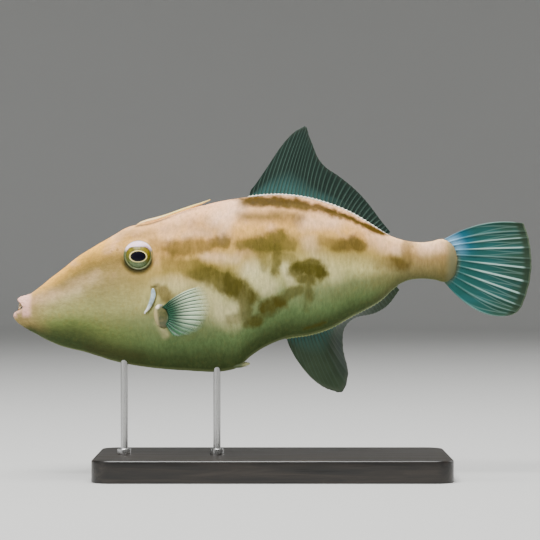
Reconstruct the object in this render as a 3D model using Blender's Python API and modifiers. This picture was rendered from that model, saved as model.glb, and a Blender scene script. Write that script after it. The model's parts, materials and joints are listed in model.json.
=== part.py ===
"""A black scraper filefish, life size, swimming with its nose a little down on a display stand.

Sizes are in millimetres here and become metres where each mesh is made. The fish faces -X, its
left side is towards -Y, its mid-plane is y = 0 and the underside of the stand is z = 0.
"""
import bpy
import bmesh
from bisect import bisect_right
from math import acos, atan2, cos, pi, radians, sin, tau
from mathutils import Matrix, Vector

MM = 0.001
GAP = 0.3
SIDES = (("left", -1), ("right", 1))

# Outlines of the body from the lips to the end of the flesh: x, then z.
BACK = [
    (-130.2, 98.6), (-125, 103.1), (-120.2, 107.2), (-113.1, 114.2), (-106.7, 119.1), (-99.6, 123.1),
    (-85.1, 131.4), (-79.7, 134.2), (-73.2, 135.8), (-66.2, 136.7), (-58.1, 139.2), (-50, 142.3),
    (-41.9, 145.0), (-33.8, 147.2), (-19.2, 150.1), (1.4, 151.7), (14.9, 150.7), (25.7, 148.3),
    (41.9, 142.2), (55.4, 134.3), (61.8, 130.5), (68.9, 128.0), (77, 126.7), (85.1, 126.9),
    (92.1, 128.3), (95.9, 126.4), (98.6, 122.6), (99.6, 118.5),
]
BELLY = [
    (-130.2, 78.0), (-122.9, 74.0), (-114.8, 70.5), (-98.6, 66.2), (-82.4, 61.3), (-66.2, 58.6),
    (-41.9, 56.7), (-31.1, 56.2), (-23, 57.2), (-18.5, 58.8), (-12.2, 64.3), (-4.1, 69.7),
    (7.8, 74.4), (20.3, 76.4), (31.1, 79.9), (41.9, 85.9), (58.1, 94.8), (67.2, 102.6),
    (72.6, 105.3), (82.4, 106.9), (87.8, 106.4), (93.2, 104.8), (96.9, 106.9), (99.1, 111.2),
    (99.6, 115.0),
]
HALF_WIDTH = [
    (-130.2, 4.4), (-120, 6.2), (-105, 8.6), (-90, 11.0), (-75, 13.0), (-58, 15.0), (-35, 16.0),
    (-10, 15.3), (15, 13.0), (40, 9.6), (62, 6.6), (75, 5.2), (85, 4.6), (92, 4.0), (97, 2.9),
    (99.6, 1.6),
]
# How the flank closes at the keel and at the ridge: 0.5 is round, 1 is a straight wedge.
KEEL_FORM = [
    (-130.2, 0.5), (-110, 0.6), (-90, 0.72), (-60, 0.8), (-30, 0.85), (-10, 0.7), (20, 0.6),
    (60, 0.5), (99.6, 0.5),
]
RIDGE_FORM = [(-130.2, 0.5), (-110, 0.58), (-60, 0.6), (30, 0.6), (60, 0.5), (99.6, 0.5)]
BODY_AROUND = 28
HEAD_STEP = 2.8
TRUNK_STEP = 5.5
STALK_STEP = 3.5
END_STATIONS = (94.5, 96.6, 98.2, 99.2, 99.6)
GILL_CUT = (-61.1, 102.0)
GILL_CUT_SLOPE = 0.28
STALK_CUT = 69.0

# Lips: x, upper edge, lower edge, half-width.
UPPER_LIP = [
    (-137.4, 94.9, 94.1, 0.8), (-137.0, 95.9, 93.5, 1.9), (-135.8, 96.9, 93.2, 2.9),
    (-134.4, 97.3, 93.2, 3.5), (-133.5, 97.7, 91.7, 3.7), (-130.5, 98.6, 91.3, 4.4),
]
LOWER_LIP = [
    (-139.9, 87.6, 86.2, 0.9), (-139.4, 88.6, 84.9, 2.0), (-138.0, 89.3, 83.3, 2.9),
    (-136.0, 89.8, 81.9, 3.5), (-134.8, 90.0, 80.9, 3.8), (-133.7, 91.2, 80.0, 4.0),
    (-130.5, 91.0, 78.1, 4.4),
]
LIP_AROUND = 16
LIP_FORM = 0.42
TEETH_COUNT = 6
TOOTH_PITCH = 0.66
TOOTH_SIZE = (0.7, 0.56, 1.1)
TOOTH_TIP = (0.6, 0.8)
GUM_SIZE = (0.8, 4.1, 0.6)
TEETH_SET_BACK = 0.08
UPPER_TEETH = (-135.5, 92.5)
LOWER_TEETH = (-136.1, 90.6)

EYE_CENTRE = (-72.6, 8.9, 118.8)
EYE_HALF = (6.9, 4.6, 6.9)
EYE_TILT = radians(12)
EYE_SEGMENTS = (18, 10)
COLLAR_RADIUS = 7.5
COLLAR_BEAD = 1.15
COLLAR_OUT = 11.2
COLLAR_SEGMENTS = (24, 8)
NOSTRILS = ((-83.0, 121.6, 0.75), (-86.2, 120.9, 0.6))
NOSTRIL_DEPTH = 2.4

GILL_PATH = [(100.9, -64.5), (97.6, -64.3), (94.4, -65.2), (91.2, -66.6), (88.6, -68.4)]
GILL_HALF = (0.95, 1.0)
GILL_TAPER = 1.85
GILL_RINGS = (0.02, 0.1, 0.25, 0.4, 0.55, 0.7, 0.85, 0.95, 0.985)
GILL_AROUND = 10
PAD_CENTRE = (-58.7, 86.7)
PAD_HALF = (3.3, 2.6, 7.2)
PAD_TILT = radians(-13)
PAD_SEGMENTS = (14, 10)

SPINE_FRONT = -73.6
SPINE_TIP = -33.8
SPINE_RADIUS = [(0, 1.0), (0.05, 1.35), (0.4, 1.2), (0.8, 0.7), (1, 0.32)]
SPINE_LIFT = [(0, 0), (0.6, 0), (0.85, 0.4), (1, 1.4)]
SPINE_STEPS = 14
SPINE_AROUND = 8
SPUR_PATH = [(-20.5, 60.4), (-17.5, 59.8), (-15, 59.5), (-12.8, 59.4)]
SPUR_RADIUS = [(-20.5, 1.3), (-17.5, 1.3), (-15, 1.0), (-12.8, 0.45)]
SPUR_STEPS = 6

# Fins. Each tip row is: where the ray is rooted, then the tip's x, y and z.
MEMBRANE = 0.5
DORSAL_RAYS = 38
DORSAL_BASE = (-12.7, 62.4)
DORSAL_TIPS = [
    (-12.7, -11.6, 0, 154.6), (-10.7, -8.9, 0, 157.9), (-8, -3.5, 0, 165.8), (-4, 4.5, 0, 177.8),
    (0, 11.0, 0, 185.2), (3.3, 15.2, 0, 187.9), (6.75, 18.1, 0, 188.8), (10.8, 19.6, 0, 184.2),
    (14.85, 21.2, 0, 180.2), (20, 24.5, 0, 171.9), (25, 29.0, 0, 166.5), (30, 35.0, 0, 162.5),
    (36.5, 43.0, 0, 156.2), (45.6, 51.0, 0, 148.0), (54.3, 58.3, 0, 138.3), (62.4, 63.6, 0, 131.8),
]
MEDIAN_BOW = 0.9
MEDIAN_BOW_LENGTH = 20
MEDIAN_ROWS = 6
ANAL_RAYS = 35
ANAL_BASE = (7.8, 67.2)
ANAL_TIPS = [
    (7.8, 9.6, 0, 69.4), (9.5, 13.0, 0, 63.8), (12, 19.3, 0, 55.8), (16, 27.0, 0, 49.4),
    (20, 33.0, 1.5, 46.4), (24, 38.1, 5, 45.9), (25.7, 39.0, 9, 50.2), (27.4, 39.0, 13.5, 55.8),
    (29.1, 38.3, 17.5, 61.0), (30.8, 37.6, 20.5, 66.0), (32.5, 37.2, 22, 70.5), (34.2, 37.4, 22.5, 74.5),
    (36, 38.4, 22, 78.4), (41, 43.5, 18.5, 84.0), (52.7, 56.0, 11, 87.9), (60, 62.8, 7.5, 92.3),
    (67.2, 68.6, 2.4, 100.4),
]
FIN_RAY_THICK = (1.1, 0.65)
CAUDAL_RAYS = 12
CAUDAL_ROOT = (86.0, 116.6)
CAUDAL_ROOT_HALF = (11.8, 10.6)
CAUDAL_ROOT_FORM = 2.5
CAUDAL_ROOT_SPREAD = radians(62)
CAUDAL_TIPS = [
    (0, 134.4, 0, 136.9), (0.09, 136.9, 0, 132.0), (0.18, 138.2, 0, 128.2), (0.36, 139.7, 0, 117.7),
    (0.45, 139.9, 0, 112.4), (0.64, 139.2, 0, 105.2), (0.82, 137.5, 0, 98.1), (0.91, 135.6, 0, 92.7),
    (1, 132.4, 0, 88.4),
]
CAUDAL_BOW = (4.2, -5.6)
CAUDAL_THICK = (1.5, 0.7)
CAUDAL_FORK = 0.4
CAUDAL_ROWS = 7
PECTORAL_RAYS = 14
PECTORAL_ROOT_ANGLE = (radians(76), radians(-74))
PECTORAL_ROOT_OUT = radians(42)
PECTORAL_ROOT_CLEAR = GAP + 0.35
PECTORAL_TIPS = [
    (0, -36.6, 23.4, 102.4), (0.15, -34.2, 24.6, 99.6), (0.3, -32.4, 25.6, 95.0), (0.5, -32.2, 26.2, 90.0),
    (0.65, -34.4, 25.6, 84.6), (0.8, -38.4, 23.8, 78.8), (0.9, -44.2, 21.4, 76.4), (1, -51.0, 18.6, 75.6),
]
PECTORAL_BOW = (2.3, -1.4)
PECTORAL_THICK = (1.0, 0.6)
PECTORAL_ROWS = 5

BASE_SIZE = (190, 90, 12)
BASE_CORNER = 10
BASE_EDGE = 1.2
BASE_SEGMENTS = (6, 2)
ROD_RADIUS = 2.0
ROD_PLACES = (("front", -80.0), ("rear", -30.0))
ROD_IN_BODY = 15
ROD_IN_BASE = 6
ROD_SIDES = 16

COLOURS = {
    "flesh": ((0.50, 0.45, 0.33, 1), 0.55, 0.0),
    "lip": ((0.72, 0.55, 0.50, 1), 0.45, 0.0),
    "tooth": ((0.80, 0.74, 0.62, 1), 0.30, 0.0),
    "eye": ((0.22, 0.20, 0.08, 1), 0.10, 0.0),
    "gill": ((0.55, 0.66, 0.72, 1), 0.40, 0.0),
    "pad": ((0.36, 0.30, 0.16, 1), 0.50, 0.0),
    "spine": ((0.78, 0.74, 0.58, 1), 0.50, 0.0),
    "fin": ((0.02, 0.16, 0.26, 1), 0.35, 0.0),
    "paddle": ((0.25, 0.50, 0.50, 1), 0.35, 0.0),
    "base": ((0.10, 0.10, 0.11, 1), 0.40, 0.0),
    "rod": ((0.60, 0.60, 0.60, 1), 0.25, 1.0),
}


def curve(points):
    """Return a smooth function through points of (position, value), flat beyond its ends."""
    places = [point[0] for point in points]
    values = [point[1] for point in points]
    chords = [(values[i + 1] - values[i]) / (places[i + 1] - places[i]) for i in range(len(points) - 1)]
    slopes = [chords[0]] + [(a + b) / 2 for a, b in zip(chords, chords[1:])] + [chords[-1]]

    def value(place):
        place = min(max(place, places[0]), places[-1])
        i = min(bisect_right(places, place) - 1, len(places) - 2)
        span = places[i + 1] - places[i]
        s = (place - places[i]) / span
        start = values[i] * (1 + 2 * s) + slopes[i] * span * s
        end = values[i + 1] * (3 - 2 * s) + slopes[i + 1] * span * (s - 1)
        return start * (1 - s) ** 2 + end * s ** 2

    return value


def column(rows, k):
    """Return the curve of one column of a table against its first column."""
    return curve([(row[0], row[k]) for row in rows])


back = curve(BACK)
belly = curve(BELLY)
half_width = curve(HALF_WIDTH)
keel_form = curve(KEEL_FORM)
ridge_form = curve(RIDGE_FORM)


def flank(x, t):
    """Half-width of the body at station x and at share t of the height from keel to ridge."""
    low = keel_form(x)
    high = ridge_form(x)
    widest = low / (low + high)
    return half_width(x) * (t / widest) ** low * ((1 - t) / (1 - widest)) ** high


def flank_at(x, z):
    """Half-width of the body at station x and height z."""
    return flank(x, (z - belly(x)) / (back(x) - belly(x)))


def stations(start, end, step):
    """Evenly spaced places from start up to, but not at, end."""
    count = max(1, round((end - start) / step))
    return [start + (end - start) * i / count for i in range(count)]


def clear_scene():
    """Remove the objects of the open file."""
    for obj in list(bpy.data.objects):
        bpy.data.objects.remove(obj, do_unlink=True)


def new_collection(name):
    """Add a collection to the scene."""
    collection = bpy.data.collections.new(name)
    bpy.context.scene.collection.children.link(collection)
    return collection


def material(kind):
    """Return the Principled material of one kind, made once."""
    found = bpy.data.materials.get(kind)
    if found:
        return found
    made = bpy.data.materials.new(kind)
    made.use_nodes = True
    shader = made.node_tree.nodes["Principled BSDF"]
    colour, roughness, metallic = COLOURS[kind]
    shader.inputs["Base Color"].default_value = colour
    shader.inputs["Roughness"].default_value = roughness
    shader.inputs["Metallic"].default_value = metallic
    made.diffuse_color = colour
    return made


def face_outwards(bm):
    """Turn the faces of a closed form outwards."""
    bmesh.ops.recalc_face_normals(bm, faces=bm.faces)
    if bm.calc_volume(signed=True) < 0:
        bmesh.ops.reverse_faces(bm, faces=bm.faces)


def new_object(name, bm, collection, kind=None):
    """Make an object of a bmesh whose sizes are millimetres, with its normals outwards."""
    face_outwards(bm)
    bmesh.ops.scale(bm, vec=(MM, MM, MM), verts=bm.verts)
    mesh = bpy.data.meshes.new(name)
    bm.to_mesh(mesh)
    bm.free()
    obj = bpy.data.objects.new(name, mesh)
    collection.objects.link(obj)
    if kind:
        mesh.materials.append(material(kind).copy())
        mesh.materials[0].name = name
        mesh.shade_smooth()
        mesh.set_sharp_from_angle(angle=radians(40))
    else:
        obj.hide_render = True
        obj.display_type = "WIRE"
    return obj


def loft(rings, around, start, end, point):
    """Reshape a sphere into a closed form: one of its rings for each entry of rings."""
    bm = bmesh.new()
    bmesh.ops.create_uvsphere(bm, u_segments=around, v_segments=len(rings) + 1, radius=1)
    for vert in bm.verts:
        ring = round(acos(max(-1, min(1, vert.co.z))) / pi * (len(rings) + 1))
        if ring == 0:
            vert.co = start
        elif ring == len(rings) + 1:
            vert.co = end
        else:
            vert.co = point(rings[ring - 1], atan2(vert.co.y, vert.co.x) % tau)
    return bm


def fin(name, collection, kind, columns, rows, point, thickness, thickest):
    """A membrane from a grid: point(u, s) places it, thickness(u, s) raises its rays."""
    bm = bmesh.new()
    bmesh.ops.create_grid(bm, x_segments=columns, y_segments=rows, size=0.5)
    bmesh.ops.triangulate(bm, faces=bm.faces, quad_method="FIXED")
    bm.verts.ensure_lookup_table()
    raised = []
    for vert in bm.verts:
        u = min(max(vert.co.x + 0.5, 0), 1)
        s = min(max(vert.co.y + 0.5, 0), 1)
        raised.append((thickness(u, s) - MEMBRANE) / (thickest - MEMBRANE))
        vert.co = point(u, s)
    obj = new_object(name, bm, collection, kind)
    group = obj.vertex_groups.new(name="rays")
    for index, weight in enumerate(raised):
        group.add([index], weight, "REPLACE")
    solidify = obj.modifiers.new("thickness", "SOLIDIFY")
    solidify.thickness = thickest * MM
    solidify.offset = 0
    solidify.vertex_group = group.name
    solidify.thickness_vertex_group = MEMBRANE / thickest
    return obj


def cylinder(place, axis, radius, depth, sides):
    """A closed cylinder along axis, centred on place."""
    bm = bmesh.new()
    turn = Vector(axis).to_track_quat("Z", "Y").to_matrix().to_4x4()
    bmesh.ops.create_cone(
        bm, cap_ends=True, segments=sides, radius1=radius, radius2=radius, depth=depth,
        matrix=Matrix.Translation(place) @ turn,
    )
    return bm


def ellipsoid(centre, half, turn, around, rings):
    """A sphere with its poles on Y, stretched to three half-axes, then turned by a matrix."""
    bm = bmesh.new()
    bmesh.ops.create_uvsphere(bm, u_segments=around, v_segments=rings, radius=1)
    pole_to_y = Matrix.Rotation(pi / 2, 4, "X")
    stretch = Matrix.Diagonal((*half, 1))
    bmesh.ops.transform(bm, matrix=Matrix.Translation(centre) @ turn @ stretch @ pole_to_y, verts=bm.verts)
    return bm


def cut(obj, cutters, name):
    """Take the cutters away from an object, with a live Boolean."""
    if isinstance(cutters, bpy.types.Collection):
        modifier = obj.modifiers.new(name, "BOOLEAN")
        modifier.operand_type = "COLLECTION"
        modifier.collection = cutters
    else:
        modifier = obj.modifiers.new(name, "BOOLEAN")
        modifier.object = cutters
    modifier.operation = "DIFFERENCE"
    modifier.solver = "EXACT"


def merge(obj, pieces):
    """Join closed pieces to an object by one union, apply it and remove the pieces."""
    group = bpy.data.collections.new("merging")
    bpy.context.scene.collection.children.link(group)
    for piece in pieces:
        for collection in list(piece.users_collection):
            collection.objects.unlink(piece)
        group.objects.link(piece)
    modifier = obj.modifiers.new("union", "BOOLEAN")
    modifier.operation = "UNION"
    modifier.operand_type = "COLLECTION"
    modifier.collection = group
    modifier.solver = "EXACT"
    joined = bpy.data.meshes.new_from_object(obj.evaluated_get(bpy.context.evaluated_depsgraph_get()))
    obj.modifiers.remove(modifier)
    obj.data = joined
    for piece in pieces:
        bpy.data.objects.remove(piece, do_unlink=True)
    bpy.data.collections.remove(group)


def body_form(swell):
    """The whole body in one piece, grown by swell on every side."""
    gill_x = GILL_CUT[0]
    places = stations(BACK[0][0], gill_x, HEAD_STEP) + stations(gill_x, STALK_CUT, TRUNK_STEP)
    places += stations(STALK_CUT, END_STATIONS[0], STALK_STEP) + list(END_STATIONS)
    front, rear = places[0], places[-1]

    def point(x, angle):
        t = (1 - cos(angle)) / 2
        y = flank(x, t) * (1 if sin(angle) > 0 else -1)
        return x, y, belly(x) + t * (back(x) - belly(x))

    middle = (back(front) + belly(front)) / 2
    end = (back(rear) + belly(rear)) / 2
    bm = loft(places, BODY_AROUND, (front, 0, middle), (rear, 0, end), point)
    if swell:
        face_outwards(bm)
        bm.normal_update()
        moved = [(vert, vert.co + vert.normal * swell) for vert in bm.verts]
        for vert, place in moved:
            vert.co = place
    return bm


def body_slice(name, planes, collection):
    """One length of the body, kept behind each plane given as a place and a normal."""
    bm = body_form(0)
    for place, normal in planes:
        geometry = bm.verts[:] + bm.edges[:] + bm.faces[:]
        result = bmesh.ops.bisect_plane(
            bm, geom=geometry, plane_co=place, plane_no=normal, clear_outer=True)
        rim = [item for item in result["geom_cut"] if isinstance(item, bmesh.types.BMEdge)]
        bmesh.ops.holes_fill(bm, edges=rim, sides=0)
    return new_object(name, bm, collection, "flesh")


def eye_turn(side):
    """The tilt of an eye on one side, upwards with the slope of the head."""
    return Matrix.Rotation(EYE_TILT * side, 4, "X")


def eye_form(side, grow):
    """One eyeball, grown by grow on every side."""
    x, y, z = EYE_CENTRE
    half = [size + grow for size in EYE_HALF]
    return ellipsoid((x, y * side, z), half, eye_turn(side), *EYE_SEGMENTS)


def collar_form(name, side, collection):
    """The low bead of skin round an eye."""
    x, _, z = EYE_CENTRE
    bpy.ops.mesh.primitive_torus_add(
        major_segments=COLLAR_SEGMENTS[0], minor_segments=COLLAR_SEGMENTS[1],
        major_radius=COLLAR_RADIUS * MM, minor_radius=COLLAR_BEAD * MM)
    collar = bpy.context.object
    collar.name = name
    place = Matrix.Translation(Vector((x, COLLAR_OUT * side, z)) * MM)
    collar.data.transform(place @ eye_turn(side) @ Matrix.Rotation(pi / 2, 4, "X"))
    return collar


def rod_depth(x):
    """Where the top of a rod ends inside the body."""
    return belly(x) + ROD_IN_BODY


def make_head(collection, cutters):
    """Head with eye collars, eye sockets, nostrils and the front rod's hole."""
    lean = Vector((1, 0, -GILL_CUT_SLOPE)).normalized()
    place = Vector((GILL_CUT[0], 0, GILL_CUT[1])) - lean * (GAP / 2)
    head = body_slice("head", [(place, lean)], collection)
    merge(head, [collar_form("collar_" + word, side, cutters) for word, side in SIDES])
    group = bpy.data.collections.new("head cutters")
    cutters.children.link(group)
    for word, side in SIDES:
        new_object("socket_" + word, eye_form(side, GAP), group)
        for k, (x, z, radius) in enumerate(NOSTRILS):
            centre = (x, flank_at(x, z) * side, z)
            form = cylinder(centre, (0, 1, 0), radius, NOSTRIL_DEPTH, 8)
            new_object(f"nostril_{word}_{k}", form, group)
    rod_hole("front", group)
    cut(head, group, "openings")


def rod_hole(word, group):
    """The hole that one rod enters, wider than the rod by the gap."""
    x = dict(ROD_PLACES)[word]
    low = BASE_SIZE[2] - ROD_IN_BASE
    top = rod_depth(x) + GAP
    form = cylinder((x, 0, (low + top) / 2), (0, 0, 1), ROD_RADIUS + GAP, top - low, ROD_SIDES)
    return new_object("hole_" + word, form, group)


def make_trunk(collection, cutters):
    """Trunk from behind the gill openings to the tail stalk, with the rear rod's hole."""
    lean = Vector((-1, 0, GILL_CUT_SLOPE)).normalized()
    place = Vector((GILL_CUT[0], 0, GILL_CUT[1])) - lean * (GAP / 2)
    rear = (Vector((STALK_CUT - GAP / 2, 0, 0)), Vector((1, 0, 0)))
    trunk = body_slice("trunk", [(place, lean), rear], collection)
    cut(trunk, rod_hole("rear", cutters), "rod hole")


def make_tail_stalk(collection):
    """The narrow stalk that carries the tail fin."""
    body_slice("tail_stalk", [(Vector((STALK_CUT + GAP / 2, 0, 0)), Vector((-1, 0, 0)))], collection)


def make_lip(name, rows, collection):
    """One lip, lofted from its tip back to the flat front of the head."""
    def point(row, angle):
        x, high, low, wide = row
        middle = (high + low) / 2
        across = abs(sin(angle)) ** (2 * LIP_FORM) * (1 if sin(angle) > 0 else -1)
        up = abs(cos(angle)) ** (2 * LIP_FORM) * (1 if cos(angle) > 0 else -1)
        return x, wide * across, middle + (high - low) / 2 * up

    first, last = rows[0], rows[-1]
    start = (first[0] - 0.1, 0, (first[1] + first[2]) / 2)
    end = (last[0], 0, (last[1] + last[2]) / 2)
    new_object(name, loft(rows, LIP_AROUND, start, end, point), collection, "lip")


def make_teeth(name, place, down, collection):
    """A row of short front teeth on a strip of gum, pointing down or up."""
    x, z = place
    reach = -1 if down else 1
    gum = bmesh.new()
    bmesh.ops.create_cube(gum, size=1, matrix=Matrix.Diagonal((*GUM_SIZE, 1)))
    long_edges = [e for e in gum.edges if abs(e.verts[0].co.y - e.verts[1].co.y) > 1]
    bmesh.ops.subdivide_edges(gum, edges=long_edges, cuts=TEETH_COUNT)
    for vert in gum.verts:
        vert.co += Vector((x + TEETH_SET_BACK * vert.co.y ** 2, 0, z))
    row = new_object(name, gum, collection, "tooth")
    pieces = []
    for k in range(TEETH_COUNT):
        y = (k - (TEETH_COUNT - 1) / 2) * TOOTH_PITCH
        form = bmesh.new()
        bmesh.ops.create_cube(form, size=1, matrix=Matrix.Diagonal((*TOOTH_SIZE, 1)))
        for vert in form.verts:
            if vert.co.z * reach > 0:
                vert.co.x *= TOOTH_TIP[0]
                vert.co.y *= TOOTH_TIP[1]
            vert.co += Vector((x + TEETH_SET_BACK * y ** 2, y, z + reach * (TOOTH_SIZE[2] / 2)))
        pieces.append(new_object(f"{name}_{k}", form, collection, "tooth"))
    merge(row, pieces)


def make_eyes(collection):
    """Both eyeballs."""
    for word, side in SIDES:
        new_object("eye_" + word, eye_form(side, 0), collection, "eye")


def make_gill_flaps(collection, body_clear):
    """The pale crescent of skin that edges each gill opening."""
    path = curve(sorted(GILL_PATH))
    low = GILL_PATH[-1][0]
    high = GILL_PATH[0][0]
    middle = (low + high) / 2
    for word, side in SIDES:
        def point(s, angle, side=side):
            z = low + (high - low) * s
            taper = (1 - ((z - middle) / (high - low) * GILL_TAPER) ** 2) ** 0.5
            x = path(z)
            out = flank_at(x, z) + GILL_HALF[1] * sin(angle) * taper
            return x + GILL_HALF[0] * cos(angle) * taper, out * side, z

        ends = [(path(z), flank_at(path(z), z) * side, z) for z in (low, high)]
        bm = loft(GILL_RINGS, GILL_AROUND, *ends, point)
        flap = new_object("gill_flap_" + word, bm, collection, "gill")
        cut(flap, body_clear, "lies on the head")


def pad_turn(side):
    """Turn and place of a pectoral pad on one side."""
    x, z = PAD_CENTRE
    return Matrix.Translation((x, flank_at(x, z) * side, z)) @ Matrix.Rotation(PAD_TILT, 4, "Y")


def make_pectoral(collection, body_clear):
    """Each pectoral pad and the fan of rays that it carries."""
    tips = [column(PECTORAL_TIPS, k) for k in (1, 2, 3)]
    for word, side in SIDES:
        turn = pad_turn(side)
        bm = ellipsoid((0, 0, 0), PAD_HALF, Matrix.Identity(4), *PAD_SEGMENTS)
        bmesh.ops.transform(bm, matrix=turn, verts=bm.verts)
        pad = new_object("pectoral_base_" + word, bm, collection, "pad")
        cut(pad, body_clear, "lies on the trunk")

        def point(u, s, side=side, turn=turn):
            angle = PECTORAL_ROOT_ANGLE[0] + (PECTORAL_ROOT_ANGLE[1] - PECTORAL_ROOT_ANGLE[0]) * u
            reach = [half + PECTORAL_ROOT_CLEAR for half in PAD_HALF]
            root = turn @ Vector((
                reach[0] * cos(angle) * cos(PECTORAL_ROOT_OUT),
                reach[1] * sin(PECTORAL_ROOT_OUT) * side,
                reach[2] * sin(angle) * cos(PECTORAL_ROOT_OUT)))
            tip = Vector((tips[0](u), tips[1](u) * side, tips[2](u)))
            bow = PECTORAL_BOW[0] + (PECTORAL_BOW[1] - PECTORAL_BOW[0]) * u
            return root.lerp(tip, s) + Vector((0, 0, bow * 4 * s * (1 - s)))

        fin("pectoral_fin_" + word, collection, "paddle", (PECTORAL_RAYS - 1) * 2, PECTORAL_ROWS, point,
            ray_ridges(PECTORAL_RAYS, PECTORAL_THICK), PECTORAL_THICK[0])


def ray_ridges(rays, thick):
    """Thickness of a fin whose rays are one column in two of its grid."""
    def thickness(u, s):
        on_ray = round(u * (rays - 1) * 2) % 2 == 0
        return thick[0] + (thick[1] - thick[0]) * s if on_ray else MEMBRANE

    return thickness


def make_median_fin(name, rays, base, tips, edge, up, collection):
    """The dorsal or anal fin, rooted along an outline of the body, clear of it by the gap."""
    ends = [column(tips, k) for k in (1, 2, 3)]

    def point(u, s):
        x = base[0] + (base[1] - base[0]) * u
        foot = Vector((x, 0, edge(x)))
        tip = Vector([end(x) for end in ends])
        lean = abs(tip.y) / (tip - foot).length
        slope = Vector((edge(x - 0.5) - edge(x + 0.5), 0, 1)).normalized()
        root = foot + slope * up * (GAP + FIN_RAY_THICK[0] / 2 * lean)
        along = tip - root
        bow = MEDIAN_BOW * min(1, along.length / MEDIAN_BOW_LENGTH)
        return root + along * s - Vector((bow * 4 * s * (1 - s), 0, 0))

    fin(name, collection, "fin", (rays - 1) * 2, MEDIAN_ROWS, point,
        ray_ridges(rays, FIN_RAY_THICK), FIN_RAY_THICK[0])


def make_caudal_fin(collection, body_clear):
    """The tail fin: twelve rays that fork, cut to fit round the end of the stalk."""
    tips = [column(CAUDAL_TIPS, k) for k in (1, 2, 3)]
    columns = (CAUDAL_RAYS - 1) * 4 + 2

    def point(u, s):
        angle = CAUDAL_ROOT_SPREAD * (1 - 2 * u)
        power = CAUDAL_ROOT_FORM
        wide = abs(cos(angle) / CAUDAL_ROOT_HALF[0]) ** power
        tall = abs(sin(angle) / CAUDAL_ROOT_HALF[1]) ** power
        reach = (wide + tall) ** (-1 / power)
        root = Vector((CAUDAL_ROOT[0] + reach * cos(angle), 0, CAUDAL_ROOT[1] + reach * sin(angle)))
        tip = Vector([end(u) for end in tips])
        side = 1 - 2 * u
        bow = (CAUDAL_BOW[0] if side > 0 else -CAUDAL_BOW[1]) * side * abs(side)
        return root.lerp(tip, s) + Vector((0, 0, bow * 4 * s * (1 - s)))

    def thickness(u, s):
        ray = CAUDAL_THICK[0] + (CAUDAL_THICK[1] - CAUDAL_THICK[0]) * s
        place = round(u * columns) % 4
        if place == 3 or (place == 1 and s > CAUDAL_FORK):
            return MEMBRANE
        return ray

    caudal = fin("caudal_fin", collection, "fin", columns, CAUDAL_ROWS, point, thickness,
                 CAUDAL_THICK[0])
    cut(caudal, body_clear, "meets the stalk")


def make_dorsal_spine(collection):
    """The first dorsal spine, folded back along the ridge of the back."""
    radius = curve(SPINE_RADIUS)
    lift = curve(SPINE_LIFT)

    def centre(s):
        x = SPINE_FRONT + (SPINE_TIP - SPINE_FRONT) * s
        return Vector((x, 0, back(x) + GAP + radius(s) + lift(s)))

    def point(s, angle):
        return centre(s) + Vector((0, sin(angle), cos(angle))) * radius(s)

    rings = [k / SPINE_STEPS for k in range(SPINE_STEPS + 1)]
    bm = loft(rings, SPINE_AROUND, centre(0) - Vector((0.8, 0, 0)), centre(1) + Vector((0.4, 0, 0.1)), point)
    new_object("dorsal_spine", bm, collection, "spine")


def make_pelvic_spur(collection, body_clear):
    """The small spiny spur at the rear end of the pelvis."""
    path = curve(SPUR_PATH)
    radius = curve(SPUR_RADIUS)
    start, end = SPUR_PATH[0][0], SPUR_PATH[-1][0]

    def point(x, angle):
        return x, radius(x) * sin(angle), path(x) + radius(x) * cos(angle)

    rings = [start + (end - start) * k / SPUR_STEPS for k in range(SPUR_STEPS + 1)]
    bm = loft(rings, SPINE_AROUND, (start - 0.4, 0, path(start)), (end + 0.3, 0, path(end)), point)
    cut(new_object("pelvic_spur", bm, collection, "spine"), body_clear, "lies on the trunk")


def make_stand(collection, cutters):
    """A flat base with rounded corners, and the two rods that hold the fish."""
    bm = bmesh.new()
    bmesh.ops.create_cube(bm, size=1, matrix=Matrix.Translation((0, 0, BASE_SIZE[2] / 2))
                          @ Matrix.Diagonal((*BASE_SIZE, 1)))
    upright = [e for e in bm.edges if abs(e.verts[0].co.z - e.verts[1].co.z) > 1]
    bmesh.ops.bevel(bm, geom=upright, offset=BASE_CORNER, segments=BASE_SEGMENTS[0], profile=0.5,
                    affect="EDGES", material=-1)
    top = [e for e in bm.edges if min(v.co.z for v in e.verts) > BASE_SIZE[2] - 0.01]
    bmesh.ops.bevel(bm, geom=top, offset=BASE_EDGE, segments=BASE_SEGMENTS[1], profile=0.5,
                    affect="EDGES", material=-1)
    base = new_object("stand_base", bm, collection, "base")
    group = bpy.data.collections.new("base cutters")
    cutters.children.link(group)
    floor = BASE_SIZE[2] - ROD_IN_BASE
    for word, x in ROD_PLACES:
        socket = cylinder((x, 0, floor + ROD_IN_BASE), (0, 0, 1), ROD_RADIUS + GAP, ROD_IN_BASE * 2, ROD_SIDES)
        new_object("base_hole_" + word, socket, group)
        low = floor + GAP
        top = rod_depth(x)
        rod = cylinder((x, 0, (low + top) / 2), (0, 0, 1), ROD_RADIUS, top - low, ROD_SIDES)
        new_object("stand_rod_" + word, rod, collection, "rod")
    cut(base, group, "rod sockets")


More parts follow.
